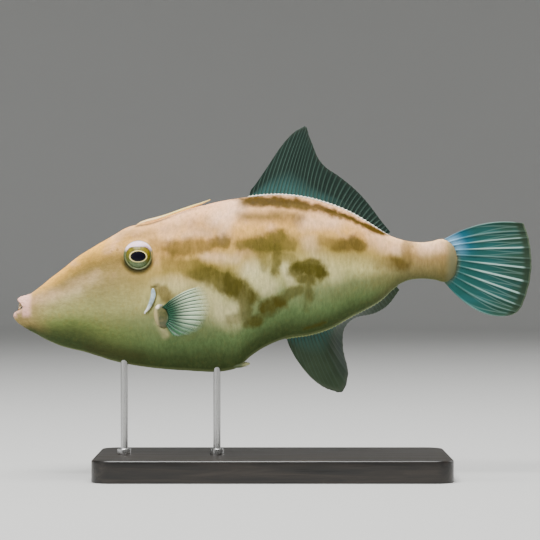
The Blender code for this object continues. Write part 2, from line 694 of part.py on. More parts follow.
def main():
    """Model the fish and its stand."""
    clear_scene()
    parts = new_collection("black scraper")
    cutters = new_collection("cutters")
    body_clear = new_object("body_clear", body_form(GAP), cutters)
    make_head(parts, cutters)
    make_trunk(parts, cutters)
    make_tail_stalk(parts)
    make_lip("upper_lip", UPPER_LIP, parts)
    make_lip("lower_lip", LOWER_LIP, parts)
    make_teeth("teeth_upper", UPPER_TEETH, True, parts)
    make_teeth("teeth_lower", LOWER_TEETH, False, parts)
    make_eyes(parts)
    make_gill_flaps(parts, body_clear)
    make_pectoral(parts, body_clear)
    make_dorsal_spine(parts)
    make_pelvic_spur(parts, body_clear)
    make_median_fin("dorsal_fin", DORSAL_RAYS, DORSAL_BASE, DORSAL_TIPS, back, 1, parts)
    make_median_fin("anal_fin", ANAL_RAYS, ANAL_BASE, ANAL_TIPS, belly, -1, parts)
    make_caudal_fin(parts, body_clear)
    make_stand(parts, cutters)


main()
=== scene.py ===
"""Finish of a life-size black scraper filefish on a display stand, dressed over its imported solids.

Sizes are in millimetres and become metres where each mesh is finished. The fish faces -X, its
left side is towards -Y, its mid-plane is y = 0 and the stand's underside is z = 0.
"""

import json
from bisect import bisect_right
from math import acos, atan2, cos, exp, hypot, pi, radians, sin, sqrt, tau
from random import Random

import bmesh
import bpy
from mathutils import Matrix, Vector, noise

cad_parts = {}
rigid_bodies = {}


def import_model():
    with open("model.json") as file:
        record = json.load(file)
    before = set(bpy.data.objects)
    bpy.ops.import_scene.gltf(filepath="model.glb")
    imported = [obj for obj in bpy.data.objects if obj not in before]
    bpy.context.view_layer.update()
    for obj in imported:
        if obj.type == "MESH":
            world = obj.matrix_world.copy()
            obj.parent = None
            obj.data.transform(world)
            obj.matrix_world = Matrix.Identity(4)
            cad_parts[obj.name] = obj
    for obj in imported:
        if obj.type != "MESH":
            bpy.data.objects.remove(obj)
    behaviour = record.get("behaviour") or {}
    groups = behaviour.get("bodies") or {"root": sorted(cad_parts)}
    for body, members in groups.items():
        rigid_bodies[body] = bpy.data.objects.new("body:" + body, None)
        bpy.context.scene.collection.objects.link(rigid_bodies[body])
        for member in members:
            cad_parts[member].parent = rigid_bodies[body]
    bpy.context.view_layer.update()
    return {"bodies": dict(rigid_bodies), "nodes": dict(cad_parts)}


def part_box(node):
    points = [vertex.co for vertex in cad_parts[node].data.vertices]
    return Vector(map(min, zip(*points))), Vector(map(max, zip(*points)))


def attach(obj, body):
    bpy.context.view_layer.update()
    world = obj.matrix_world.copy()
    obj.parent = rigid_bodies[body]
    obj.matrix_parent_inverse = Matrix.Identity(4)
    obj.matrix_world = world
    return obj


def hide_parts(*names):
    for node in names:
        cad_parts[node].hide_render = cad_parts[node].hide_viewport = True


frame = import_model()

bl_info = {
    "name": "Black scraper model",
    "version": (1, 0, 0),
    "blender": (4, 5, 0),
    "location": "3D View > Sidebar > Black scraper",
    "description": "Skin, eyes, fins and stand of a museum model of a black scraper filefish",
    "category": "Add Mesh",
}

MM = 0.001
BODY = "root"

# Outlines of the body from the lips to the end of the flesh: x, then z or half-width.
BACK = [
    (-130.2, 98.6), (-125, 102.5), (-120.2, 106.4), (-113.1, 112.2), (-106.7, 117.4), (-99.6, 121.8),
    (-85.1, 130.3), (-79.7, 133.5), (-73.2, 135.5), (-66.2, 136.6), (-58.1, 139.2), (-50, 142.3),
    (-41.9, 145), (-33.8, 146.9), (-19.2, 149.7), (1.4, 151.7), (14.9, 150.7), (25.7, 148.3),
    (41.9, 142.2), (55.4, 134.3), (61.8, 130.5), (68.9, 127.8), (77, 126.3), (85.1, 126.5), (92.1, 127.9),
    (95.9, 126.1), (98.6, 122.6), (99.6, 118.5),
]
BELLY = [
    (-130.2, 78), (-122.9, 74), (-114.8, 70.5), (-98.6, 66.2), (-82.4, 61.3), (-66.2, 58.6),
    (-41.9, 56.7), (-31.1, 56.2), (-23, 57.2), (-18.5, 58.8), (-12.2, 64.3), (-4.1, 69.7), (7.8, 74.4),
    (20.3, 76.4), (31.1, 79.9), (41.9, 85.9), (58.1, 94.8), (67.2, 102.6), (72.6, 105.3), (82.4, 106.5),
    (87.8, 105.9), (93.2, 104.8), (96.9, 106.9), (99.1, 111.2), (99.6, 115),
]
HALF_WIDTH = [
    (-130.2, 4.4), (-120, 6.2), (-105, 8.6), (-90, 11), (-75, 13), (-58, 15), (-35, 16), (-10, 15.3),
    (15, 13), (40, 9.6), (62, 6.6), (75, 5.2), (85, 4.6), (92, 4), (97, 2.9), (99.6, 1.6),
]
KEEL_FORM = [
    (-130.2, 0.5), (-110, 0.6), (-90, 0.72), (-60, 0.8), (-30, 0.85), (-10, 0.7), (20, 0.6), (60, 0.5),
    (99.6, 0.5),
]
RIDGE_FORM = [(-130.2, 0.5), (-110, 0.58), (-60, 0.6), (30, 0.6), (60, 0.5), (99.6, 0.5)]

# Rings of the muzzle from deep in the mouth outwards: x and z of the top, x, half-width and z of
# the side, x and z of the bottom.
MUZZLE = [
    (-132, 92.4, -131.6, 1.8, 91.4, -132.2, 90.4), (-134.6, 93.5, -132.8, 2.9, 91.3, -135.2, 89.4),
    (-136.7, 94, -133.6, 3.4, 91.2, -138, 88.9), (-137.5, 94.9, -134.3, 3.8, 91.1, -139.6, 87.6),
    (-137.2, 95.8, -134.2, 4.15, 90.9, -139.7, 85.8), (-136.2, 96.6, -133.6, 4.3, 90.6, -138.2, 83.4),
    (-134.2, 97.3, -132.6, 4.35, 90, -135.5, 81.3), (-132.2, 97.9, -131.4, 4.35, 89, -132.8, 79.5),
]
MOUTH_POLE = (-131.2, 0, 91.4)
MUZZLE_STEPS = 4
SKIN_AROUND = 224
MUZZLE_END = (-130.2, 98.6, -130.2, 4.4, 88.3, -130.2, 78)
# Lengths of the body from the muzzle on, with the ring spacing of each.
SKIN_RUNS = [(-130.2, 0.8), (-84, 0.32), (-61, 0.6), (-52, 1.15), (69, 1), (94.5, 0.4), (97.5, 0.22)]

# Soft swells and hollows of the flanks: x and z, how much longer than high, width and height.
SWELLS = ((-100, 112, 1.6, 7, -0.6), (-108, 84, 2.4, 5, 0.45), (-44, 70, 3.5, 3.2, -0.5))

# Ragged blotches on the flanks: two ends of each, x and z, then radius and strength.
OLIVE_MARKS = [
    (-16.5, 125, -7, 125.6, 3.6, 0.85), (-7, 125.3, 4, 125.3, 5, 0.9), (0, 128.3, 4, 128.8, 4.4, 0.85),
    (5, 126, 9.5, 124.5, 3.8, 0.6), (-5.5, 119, -5, 113.5, 2.8, 0.55), (3, 120, 1.5, 111, 3.4, 0.85),
    (5.5, 118, 9.5, 117, 3, 0.5), (-57, 114, -42, 112.5, 4.4, 0.5), (-42, 112, -32, 107.8, 6.4, 0.85),
    (-32, 107.8, -21, 101.5, 6.8, 0.98), (-21, 101.5, -13, 96.5, 6, 0.98),
    (13.5, 111.4, 25, 110.6, 5.3, 1), (17, 114.2, 24, 114.2, 2.6, 0.9), (14.5, 106.6, 21, 106, 3, 0.9),
    (18, 105, 19, 97, 3, 0.75), (18.5, 96, 18.5, 90, 1.8, 0.35), (13.5, 100.5, 5, 96, 3.2, 0.75),
    (4, 94.5, -4.5, 89.5, 4.4, 1), (-14.5, 95, -16, 86, 4.2, 0.75), (-23.5, 83.5, -19, 84.5, 3, 0.5),
    (-14.4, 83.4, -8, 83.6, 3.2, 0.85), (-2, 88, -9, 85.5, 1.6, 0.6), (17, 79.2, 28, 82.4, 0.9, 0.8),
]
BROWN_MARKS = [
    (28, 126, 33.5, 126, 3, 0.5), (34.5, 124.5, 39.5, 124.5, 3.8, 0.9), (44.5, 126, 47.5, 124.3, 4, 0.95),
    (-22, 149.9, -14, 149.6, 1, 0.8), (-13, 148.8, 0, 148.4, 3, 1), (0, 148.2, 13, 147, 3.5, 1),
    (13, 147, 28, 143.6, 2.6, 0.95), (28, 144.2, 42, 139, 2.2, 1), (42, 139, 60, 131.2, 1.9, 1),
    (64.5, 115.5, 71, 115, 3.6, 1), (72, 116.5, 73, 127, 3.6, 0.55), (57, 115, 64, 115, 3, 0.45),
    (-43, 134.5, -33, 134.5, 3.4, 0.25), (-64, 124.6, -57, 124, 3.6, 0.5),
    (-56.5, 123.6, -48.5, 122.8, 4.5, 0.9), (-47, 123.8, -34, 124.2, 3.6, 0.7),
    (-32, 126, -25, 126.4, 3.6, 0.85), (-59, 99.5, -57, 96.5, 3.8, 0.75),
]
# Soft marks fade out evenly to twice their radius.
# Soft brown marks; the first three, the band from the eye forward along the snout, are painted shade.
SOFT_BROWN_AND_SHADE_MARKS = [
    (-79, 117, -96, 115, 3.7, 0.52), (-96, 115, -107, 109.5, 4.2, 0.5),
    (-107, 109.5, -113, 104.5, 3.4, 0.3), (-16, 147.6, 18, 146.4, 2.8, 0.8),
    (-16, 140.6, 14, 139.2, 3.2, 0.8), (93, 109, 95, 116, 3.2, 0.3), (-58, 133.5, -36, 138, 3.2, 0.32),
    (-50, 117.5, -62, 119, 3, 0.3), (35, 97, 60, 107, 4.5, 0.25), (-81, 129.8, -64, 131, 2.8, 0.42),
    (-47, 126, -26, 129, 5, 0.3), (-16, 124, 10, 126, 5.5, 0.3), (28, 124, 48, 124, 5, 0.3),
]
# Pale marks, partly the skin's own pale patches and partly painted highlights on the upper back and the top
# of the tail stalk.
PALE_AND_HIGHLIGHT_MARKS = [
    (-30, 138, -20, 145, 5, 0.75), (-27, 130, -23, 138, 3.2, 0.6), (17, 137, 33, 137, 4, 0.55),
    (54, 127, 66, 123, 3.6, 0.5), (82, 122.8, 90, 123.4, 3, 0.7), (-11.5, 111, -3, 102, 4.6, 0.85),
    (7, 112, 9.5, 104, 2.4, 0.7), (-52, 103, -38, 98, 4.6, 0.5), (-40, 96, -23, 88, 6.4, 0.9),
    (-36, 118.5, -20, 116.5, 2.6, 0.5), (-61.5, 82.5, -58.3, 76.5, 1.9, 0.7),
    (-33, 89, -22, 84, 4.5, 0.35), (-88, 129.5, -77, 133.5, 2.4, 0.4), (20, 127, 24, 119, 3.4, 0.35),
    (-96, 107.5, -108, 102, 3.4, 0.25), (-124, 95, -106, 100, 3.6, 0.45), (-48, 129.8, -34, 131, 2, 0.4),
    (-56, 130, -48, 142, 3, 0.25), (-62, 103.5, -46, 105, 3, 0.3), (28, 116, 34, 108, 4, 0.3),
]
MARK_REACH = (3, 1.2)

EYE_CENTRE = (-71.8, 8.9, 118.8)
EYE_HALF = (7.5, 4.7, 7.5)
EYE_TILT = radians(12)
PUPIL_HALF = (4.15, 2.75)
PUPIL_DOWN = 1.2
LID_OUTER = 8.25
LID_INNER = 6.5
LID_DROP = 4.75
NOSTRILS = ((-83.2, 121.9, 0.75), (-86.4, 121.1, 0.6))
# Rows of front teeth: node, root and tip.
TEETH = (
    ("teeth_upper", Vector((-135.5, 0, 93.8)), Vector((-136.7, 0, 90.5))),
    ("teeth_lower", Vector((-136.1, 0, 88.2)), Vector((-136.9, 0, 90.4))))
# A tooth's place across the mouth, depth and width at root and tip, and rounding.
TOOTH_PLACES = (-1.65, -0.55, 0.55, 1.65)
TOOTH_DEPTH = (2.2, 0.6)
TOOTH_WIDTH = (1.04, 0.88)
TOOTH_ROUNDING = 0.16
TEETH_CURVE = 0.12

GILL_PATH = [(88.3, -68.2), (91, -66.2), (94.4, -64.6), (97.6, -63.7), (100.9, -63.8)]
GILL_WIDE = 1.35
# Ends of the painted shade in the notch atop the gill opening, and along the throat.
GILL_HOOK = (-64.4, 101.8, -61.2, 103.2)
THROAT_SHADE = (-98, 68.5, -72, 64.5)
PAD_CENTRE = (-58.7, 86.7)
PAD_HALF = (4.7, 2.6, 7)
PAD_TILT = radians(-13)

SPINE_ENDS = (-73.6, -33.8)
SPINE_RADIUS = [(0, 0.7), (0.06, 1.15), (0.4, 1.05), (0.8, 0.68), (1, 0.25)]
SPINE_LIFT = [(0, -1.5), (0.06, -1.2), (0.15, -0.7), (0.3, -0.5), (0.6, -0.4), (0.85, 0.3), (1, 1.7)]
BARBS = 44
SPUR_PATH = [(-21, 60.2), (-18, 60.2), (-15.2, 60.3), (-12.4, 60.6)]
SPUR_RADIUS = [(-21, 2), (-18, 1.9), (-15.2, 1.3), (-12.4, 0.45)]
SPINULES = 26

# Fins. Each tip row is: where the ray is rooted, then the tip's x, y and z. A grid is the number of
# faces between two rays and out to the edge, and a thickness is that of the rays at root and tip.
DORSAL_RAYS = 38
DORSAL_BASE = (-12.7, 62.4)
DORSAL_TIPS = [
    (-12.7, -11.6, 0, 154.6), (-10.7, -8.9, 0, 157.9), (-8, -3.5, 0, 165.8), (-4, 4.5, 0, 177.8),
    (0, 11, 0, 185.2), (3.3, 15.2, 0, 187.9), (6.75, 18.1, 0, 188.8), (10.8, 19.6, 0, 184.2),
    (14.85, 21.2, 0, 180.2), (20, 24.5, 0, 171.9), (25, 29, 0, 166.5), (30, 35, 0, 162.5),
    (36.5, 43, 0, 156.2), (45.6, 51, 0, 148), (54.3, 58.3, 0, 138.3), (62.4, 63.6, 0, 131.8),
]
ANAL_RAYS = 35
ANAL_BASE = (7.8, 67.2)
ANAL_TIPS = [
    (7.8, 9.4, 0, 69.4), (9.5, 12.5, 0, 63.6), (12, 18.6, 0, 55.4), (16, 26, 0, 48.9),
    (20, 32.3, 1.5, 46), (24, 38.3, 5, 45.6), (25.7, 40.4, 9, 50.2), (27.4, 41.2, 13.5, 55.8),
    (29.1, 40.2, 17.5, 61), (30.8, 39, 20.5, 66), (32.5, 38.6, 22, 70.5), (34.2, 38.6, 22.5, 74.5),
    (36, 39.2, 22, 78.4), (41, 43.5, 18.5, 84), (52.7, 56, 11, 87.9), (60, 62.8, 7.5, 92.3),
    (67.2, 68.6, 2.4, 100.4),
]
MEDIAN_GRID = (8, 40)
MEDIAN_THICKNESS = (0.85, 0.4)
MEDIAN_BOW = 0.9
MEDIAN_BOW_LENGTH = 20
CAUDAL_RAYS = 11
CAUDAL_BRIGHT = (0.3, 0.16, 0.48, 0.75, 0.14, 0.8, 1, 0.8, 0.42, 0.14, 0.25)
CAUDAL_ROOT = (86, 116.6)
CAUDAL_ROOT_HALF = (12.4, 11.2)
CAUDAL_ROOT_FORM = 2.5
CAUDAL_ROOT_SPREAD = radians(62)
CAUDAL_TIPS = [
    (0, 135.6, 0, 136.4), (1, 137.2, 0, 132.2), (2, 138.3, 0, 128.8), (3, 139.2, 0, 123.5),
    (4, 139.7, 0, 117.5), (5, 139.8, 0, 112.2), (6, 138.8, 0, 104.6), (7, 136.9, 0, 97.5),
    (8, 134.6, 0, 91.6), (9, 132.2, 0, 88.6), (10, 129.4, 0, 87),
]
CAUDAL_GRID = (18, 48)
CAUDAL_THICKNESS = (1.1, 0.5)
CAUDAL_BOW = (4.4, -7.2)
PECTORAL_RAYS = 14
PECTORAL_ROOT_ANGLE = (radians(76), radians(-74))
PECTORAL_ROOT_OUT = radians(42)
PECTORAL_TIPS = [
    (0, -36.6, -23.4, 102.4), (0.15, -34.2, -24.6, 99.6), (0.3, -32.4, -25.6, 95),
    (0.5, -32.2, -26.2, 90), (0.65, -34.4, -25.6, 84.6), (0.8, -38.4, -23.8, 78.8),
    (0.9, -44.2, -21.4, 76.4), (1, -51, -18.6, 75.6),
]
PECTORAL_GRID = (10, 30)
PECTORAL_THICKNESS = (0.55, 0.28)
PECTORAL_MEMBRANE = 0.14
PECTORAL_BOW = (2.3, -1.4)
# Noise on the fins' surface: scale, detail and depth in metres.
FIN_GRAIN = (1800, 2, 0.00006)

BASE_CORNER = 10
# Collar of a rod: how far it stands out from the rod, and the height above the base.
COLLAR = [(0, 0), (1.6, 0.02), (1.8, 0.3), (1.8, 2.6), (1.5, 2.9), (0, 2.95)]
ROD_ROUNDING = 0.3

# The photograph's view: level, square to the fish's left side.
VIEW_CENTRE = (-1.35, 111.2)
VIEW_DISTANCE = 1200
VIEW_WIDTH = 291.6
SENSOR = 36
# Lights: name, place and aim in metres, size, and power in watts.
LIGHTS = (
    ("key", (-0.3, -0.62, 1.45), (0, 0, 0.12), 0.9, 36),
    ("overhead", (0.05, -0.06, 1.7), (0, 0, 0.1), 1.2, 40),
    ("left fill", (-1.6, -1.3, 0.6), (0, 0, 0.1), 1.4, 4),
    ("right fill", (1.7, 1.2, 0.9), (0, 0, 0.1), 1.6, 12))


def curve(points):
    """Return a smooth function through points of (position, value), flat beyond its ends."""
    places, values = zip(*points)
    chords = [(b[1] - a[1]) / (b[0] - a[0]) for a, b in zip(points, points[1:])]
    slopes = [chords[0]] + [(a + b) / 2 for a, b in zip(chords, chords[1:])] + [chords[-1]]

    def value(place):
        place = min(max(place, places[0]), places[-1])
        i = min(bisect_right(places, place) - 1, len(places) - 2)
        span = places[i + 1] - places[i]
        s = (place - places[i]) / span
        start = values[i] * (1 + 2 * s) + slopes[i] * span * s
        end = values[i + 1] * (3 - 2 * s) + slopes[i + 1] * span * (s - 1)
        return start * (1 - s) ** 2 + end * s ** 2

    return value


def tip_path(rows):
    """Return the smooth path of a table of places against its first column."""
    columns = [curve([(row[0], row[k]) for row in rows]) for k in (1, 2, 3)]
    return lambda place: Vector([column(place) for column in columns])


def smooth(low, high, value):
    """Rise smoothly from 0 at low to 1 at high."""
    s = min(max((value - low) / (high - low), 0), 1)
    return s * s * (3 - 2 * s)


def between(pair, s):
    """The value at share s of the way between a pair."""
    return pair[0] + (pair[1] - pair[0]) * s


def bell(value, width):
    """A bump of height 1 at 0 that fades over width."""
    return exp(-(value / width) ** 2)


back = curve(BACK)
belly = curve(BELLY)
half_width = curve(HALF_WIDTH)
keel_form = curve(KEEL_FORM)
ridge_form = curve(RIDGE_FORM)
gill_path = curve(GILL_PATH)


def flank(x, t):
    """Half-width of the body at station x and at share t of the height from keel to ridge."""
    low = keel_form(x)
    high = ridge_form(x)
    widest = low / (low + high)
    return half_width(x) * (t / widest) ** low * ((1 - t) / (1 - widest)) ** high


def flank_at(x, z):
    """Half-width of the body at station x and height z."""
    return flank(x, min(max((z - belly(x)) / (back(x) - belly(x)), 0), 1))


def relief(x, y, z):
    """How far the skin swells or sinks, in millimetres, at a place on the body."""
    from_eye = hypot(x - EYE_CENTRE[0], z - EYE_CENTRE[2])
    rise = 0.8 * bell(from_eye, 11) - 0.25 * bell(from_eye - 9.8, 1)
    rise -= 2.2 * (1 - smooth(6.2, 7.6, from_eye))
    if 86 < z < 106:
        aside = x - gill_path(z)
        window = smooth(87, 90, z) * (1 - smooth(100, 103, z))
        rise += window * (0.35 * bell(aside + 3, 2.2) - 1.1 * bell(aside - 1.3, 0.6))
    if -76 < x < -32:
        window = smooth(-75, -72, x) * (1 - smooth(-40, -33, x)) * smooth(back(x) - 8, back(x) - 2, z)
        rise += window * (0.7 * bell(abs(y) - 2.3, 1) - 0.5 * bell(y, 1.1))
    under_fin = back(x) - z
    if -13 < x < 63 and under_fin < 14:
        rise += 0.09 * sin(tau * x / 2.03) * bell(under_fin - 3, 5)
    over_fin = z - belly(x)
    if 7 < x < 68 and over_fin < 12:
        rise += 0.09 * sin(tau * x / 1.75) * bell(over_fin - 3, 4)
    for at_x, at_z, stretch, width, swell in SWELLS:
        rise += swell * bell(hypot((x - at_x) / stretch, z - at_z), width)
    side = 40 if y > 0 else 0
    rise += 0.22 * noise.noise((x / 12, z / 12, side)) + 0.07 * noise.noise((x / 3.1, z / 4.5, side))
    return rise


def from_segment(x, z, mark):
    """Distance from a place in side view to the line between a mark's two ends."""
    ax, az, bx, bz = mark[:4]
    along = ((x - ax) * (bx - ax) + (z - az) * (bz - az)) / ((bx - ax) ** 2 + (bz - az) ** 2)
    along = min(max(along, 0), 1)
    return hypot(x - ax - along * (bx - ax), z - az - along * (bz - az))


def seen(x, y, z):
    """Where a place on the body shows in the side view that the marks are measured in."""
    closer = VIEW_DISTANCE / (VIEW_DISTANCE - abs(y))
    return VIEW_CENTRE[0] + (x - VIEW_CENTRE[0]) * closer, VIEW_CENTRE[1] + (z - VIEW_CENTRE[1]) * closer


def drift(x, z, side):
    """A smooth irregular shift of a place in side view, the same on every run."""
    return noise.noise((x, z, side + 0.5)), noise.noise((x + 37.3, z - 21.9, side + 0.3))


def marking(x, z, marks, side):
    """Nearness to a set of ragged marks, 0.5 at their edges and more inside, and their strength there."""
    wide, fine = drift(x / 8, z / 8, side), drift(x / 2.6, z / 3.4, side)
    x, z = x + 1.7 * wide[0] + 0.8 * fine[0], z + 1.7 * wide[1] + 0.8 * fine[1]
    nearest, total, strength = 0, 0.0001, 0
    for mark in marks:
        near = 0.5 + (mark[4] - from_segment(x, z, mark)) / (MARK_REACH[0] + MARK_REACH[1] * mark[4])
        if near > 0:
            nearest = max(nearest, near)
            total += near ** 6
            strength += mark[5] * near ** 6
    return min(nearest, 1), strength / total


def soft_marking(x, z, marks, side):
    """Strength at a place of a set of soft marks."""
    wander = drift(x / 7, z / 7, side + 9)
    x, z = x + 1.6 * wander[0], z + 1.6 * wander[1]
    return max(mark[5] * smooth(2 * mark[4], 0, from_segment(x, z, mark)) for mark in marks)


def clear_default_objects():
    """Remove everything that isn't the loaded frame."""
    kept = set(frame["nodes"].values()) | set(frame["bodies"].values())
    for obj in list(bpy.data.objects):
        if obj not in kept:
            bpy.data.objects.remove(obj, do_unlink=True)


def face_outwards(bm):
    """Turn the faces of a closed form outwards."""
    bmesh.ops.recalc_face_normals(bm, faces=bm.faces)
    if bm.calc_volume(signed=True) < 0:
        bmesh.ops.reverse_faces(bm, faces=bm.faces)


def finish_piece(name, bm, material, slot, nodes=(), marks=None, closed=True):
    """Make a piece of a bmesh in millimetres, with attributes from marks, and put it on the frame."""
    if closed:
        face_outwards(bm)
    bmesh.ops.scale(bm, vec=(MM, MM, MM), verts=bm.verts)
    mesh = bpy.data.meshes.new(name)
    bm.to_mesh(mesh)
    bm.free()
    for key, values in (marks or {}).items():
        layer = mesh.attributes.new(key, "FLOAT", "POINT")
        layer.data.foreach_set("value", values)
    mesh.shade_smooth()
    mesh.materials.append(material)
    obj = bpy.data.objects.new(name, mesh)
    bpy.context.scene.collection.objects.link(obj)
    if slot:
        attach(obj, BODY)
    if nodes:
        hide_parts(*nodes)
    return obj


def collect(bm, describe):
    """Gather named values for each vertex of a bmesh, as lists in vertex order."""
    marks = {}
    for vert in bm.verts:
        for key, value in describe(vert.co).items():
            marks.setdefault(key, []).append(value)
    return marks


def finish_pair(name, left, material, slot, node=None, marks=None):
    """Finish a piece of the left side and its mirror image, each in place of its side's node."""
    right = left.copy()
    bmesh.ops.scale(right, vec=(1, -1, 1), verts=right.verts)
    bmesh.ops.reverse_faces(right, faces=right.faces)
    for side, bm in (("left", left), ("right", right)):
        finish_piece(name + side, bm, material, slot, (node + side,) if node else (), marks)


def round_edges(bm, edges, offset, segments):
    """Round edges of a bmesh."""
    bmesh.ops.bevel(
        bm, geom=edges, offset=offset, segments=segments, profile=0.5, affect="EDGES", material=-1)


def turned(profile, centre, steps):
    """A form turned about an upright axis from a profile of radius and height."""
    bm = bmesh.new()
    verts = [bm.verts.new((centre[0] + r, centre[1], z)) for r, z in profile]
    edges = [bm.edges.new(pair) for pair in zip(verts, verts[1:])]
    bmesh.ops.spin(
        bm, geom=verts + edges, cent=centre, axis=(0, 0, 1), angle=tau, steps=steps, use_merge=True)
    bmesh.ops.remove_doubles(bm, verts=bm.verts, dist=0.001)
    return bm


def add_barb(bm, middle, direction, radius, length):
    """Add a small pointed cone."""
    turn = direction.to_track_quat("Z", "Y").to_matrix().to_4x4()
    bmesh.ops.create_cone(
        bm, cap_ends=True, segments=6, radius1=radius, radius2=0.02, depth=length,
        matrix=Matrix.Translation(middle) @ turn)


def loft(rings, around, start, end, point):
    """Reshape a sphere into a closed form: one of its rings for each entry of rings."""
    bm = bmesh.new()
    bmesh.ops.create_uvsphere(bm, u_segments=around, v_segments=len(rings) + 1, radius=1)
    for vert in bm.verts:
        ring = round(acos(max(-1, min(1, vert.co.z))) / pi * (len(rings) + 1))
        if ring == 0:
            vert.co = start
        elif ring == len(rings) + 1:
            vert.co = end
        else:
            vert.co = point(rings[ring - 1], atan2(vert.co.y, vert.co.x) % tau)
    return bm


class Wire:
    """A shader socket that takes part in arithmetic."""

    def __init__(self, surface, socket):
        self.surface = surface
        self.socket = socket

    def _math(self, operation, *values):
        return self.surface.node("ShaderNodeMath", {"operation": operation}, dict(enumerate(values)))

    def __add__(self, other):
        return self._math("ADD", self, other)

    __radd__ = __add__

    def __mul__(self, other):
        return self._math("MULTIPLY", self, other)

    __rmul__ = __mul__

    def __sub__(self, other):
        return self._math("SUBTRACT", self, other)

    def __rsub__(self, other):
        return self._math("SUBTRACT", other, self)

    def __truediv__(self, other):
        return self._math("DIVIDE", self, other)

    def __pow__(self, other):
        return self._math("POWER", self, other)

    def least(self, other):
        return self._math("MINIMUM", self, other)

    def most(self, other):
        return self._math("MAXIMUM", self, other)

    def size(self):
        return self._math("ABSOLUTE", self)

    def aside(self):
        """Distance to the nearest whole number."""
        return (self - self._math("ROUND", self)).size()

    def ramp(self, low, high, start=0, end=1):
        """Rise smoothly from start at low to end at high."""
        settings = {"interpolation_type": "SMOOTHSTEP"}
        values = {"Value": self, "From Min": low, "From Max": high, "To Min": start, "To Max": end}
        return self.surface.node("ShaderNodeMapRange", settings, values)


class Surface:
    """One material, built from a Principled shader and wires."""

    def __init__(self, name, **constants):
        self.material = bpy.data.materials.new(name)
        self.material.use_nodes = True
        self.tree = self.material.node_tree
        self.shader = self.tree.nodes["Principled BSDF"]
        self.set(**constants)

    def set(self, **values):
        """Set or link sockets of the Principled shader, named with _ for a space."""
        for key, value in values.items():
            self._feed(self.shader.inputs[key.replace("_", " ")], value)

    def _feed(self, socket, value):
        if isinstance(value, Wire):
            self.tree.links.new(value.socket, socket)
        elif socket.type == "RGBA":
            socket.default_value = (*value, 1)
        else:
            socket.default_value = value

    def node(self, kind, settings=None, values=None, output=0):
        """Add a node with its settings and sockets, and return one of its outputs."""
        made = self.tree.nodes.new(kind)
        for key, value in (settings or {}).items():
            if key == "stops":
                while len(made.color_ramp.elements) < len(value):
                    made.color_ramp.elements.new(0.5)
                for stop, (place, colour) in zip(made.color_ramp.elements, value):
                    stop.position = place
                    stop.color = (*colour, 1)
            else:
                setattr(made, key, value)
        for key, value in (values or {}).items():
            self._feed(made.inputs[key], value)
        return Wire(self, made.outputs[output])

    def attribute(self, name):
        """A value that the mesh carries at its vertices."""
        return self.node("ShaderNodeAttribute", {"attribute_name": name}, output="Fac")

    def place(self):
        """The object coordinates."""
        return self.node("ShaderNodeTexCoord", output="Object")

    def axis(self, name):
        """One of the object coordinates, X, Y or Z, in metres."""
        return self.node("ShaderNodeSeparateXYZ", None, {0: self.place()}, output=name)

    def stretched(self, factors):
        """The object coordinates multiplied along the axes."""
        return self.node("ShaderNodeMapping", None, {"Vector": self.place(), "Scale": factors})

    def noise(self, scale, detail=3, roughness=0.55, stretch=(1, 1, 1), distortion=0):
        """Noise with scale features to the metre, stretched along the axes."""
        values = {
            "Vector": self.stretched(stretch), "Scale": scale, "Detail": detail, "Roughness": roughness,
            "Distortion": distortion}
        return self.node("ShaderNodeTexNoise", None, values, output="Fac")

    def cells(self, scale, stretch=(1, 1, 1)):
        """Distance to the nearest of many scattered points, scale of them to the metre."""
        values = {"Vector": self.stretched(stretch), "Scale": scale}
        return self.node("ShaderNodeTexVoronoi", None, values, output="Distance")

    def mix(self, share, first, second):
        """Blend two colours."""
        values = {0: share, 6: first, 7: second}
        return self.node("ShaderNodeMix", {"data_type": "RGBA"}, values, output=2)

    def layers(self, colour, *coats):
        """Lay coats of share and colour over a colour, one after another."""
        for share, tone in coats:
            colour = self.mix(share, colour, tone)
        return colour

    def scaled(self, colour, factor):
        """A colour made brighter or darker."""
        values = {0: colour, "Scale": factor}
        return self.node("ShaderNodeVectorMath", {"operation": "SCALE"}, values, output="Vector")

    def gradient(self, value, stops):
        """Colours along a value from 0 to 1."""
        return self.node("ShaderNodeValToRGB", {"stops": stops}, {"Fac": value}, output="Color")

    def bump(self, height, distance, strength=1, over=None):
        """A normal from a height, distance being its depth in metres."""
        values = {"Height": height, "Distance": distance, "Strength": strength}
        if over:
            values["Normal"] = over
        return self.node("ShaderNodeBump", None, values, output="Normal")

    def pitted(self, scale, detail=2, distance=0.0001, strength=0.4):
        """A normal of fine even noise."""
        return self.bump(self.noise(scale, detail), distance, strength)


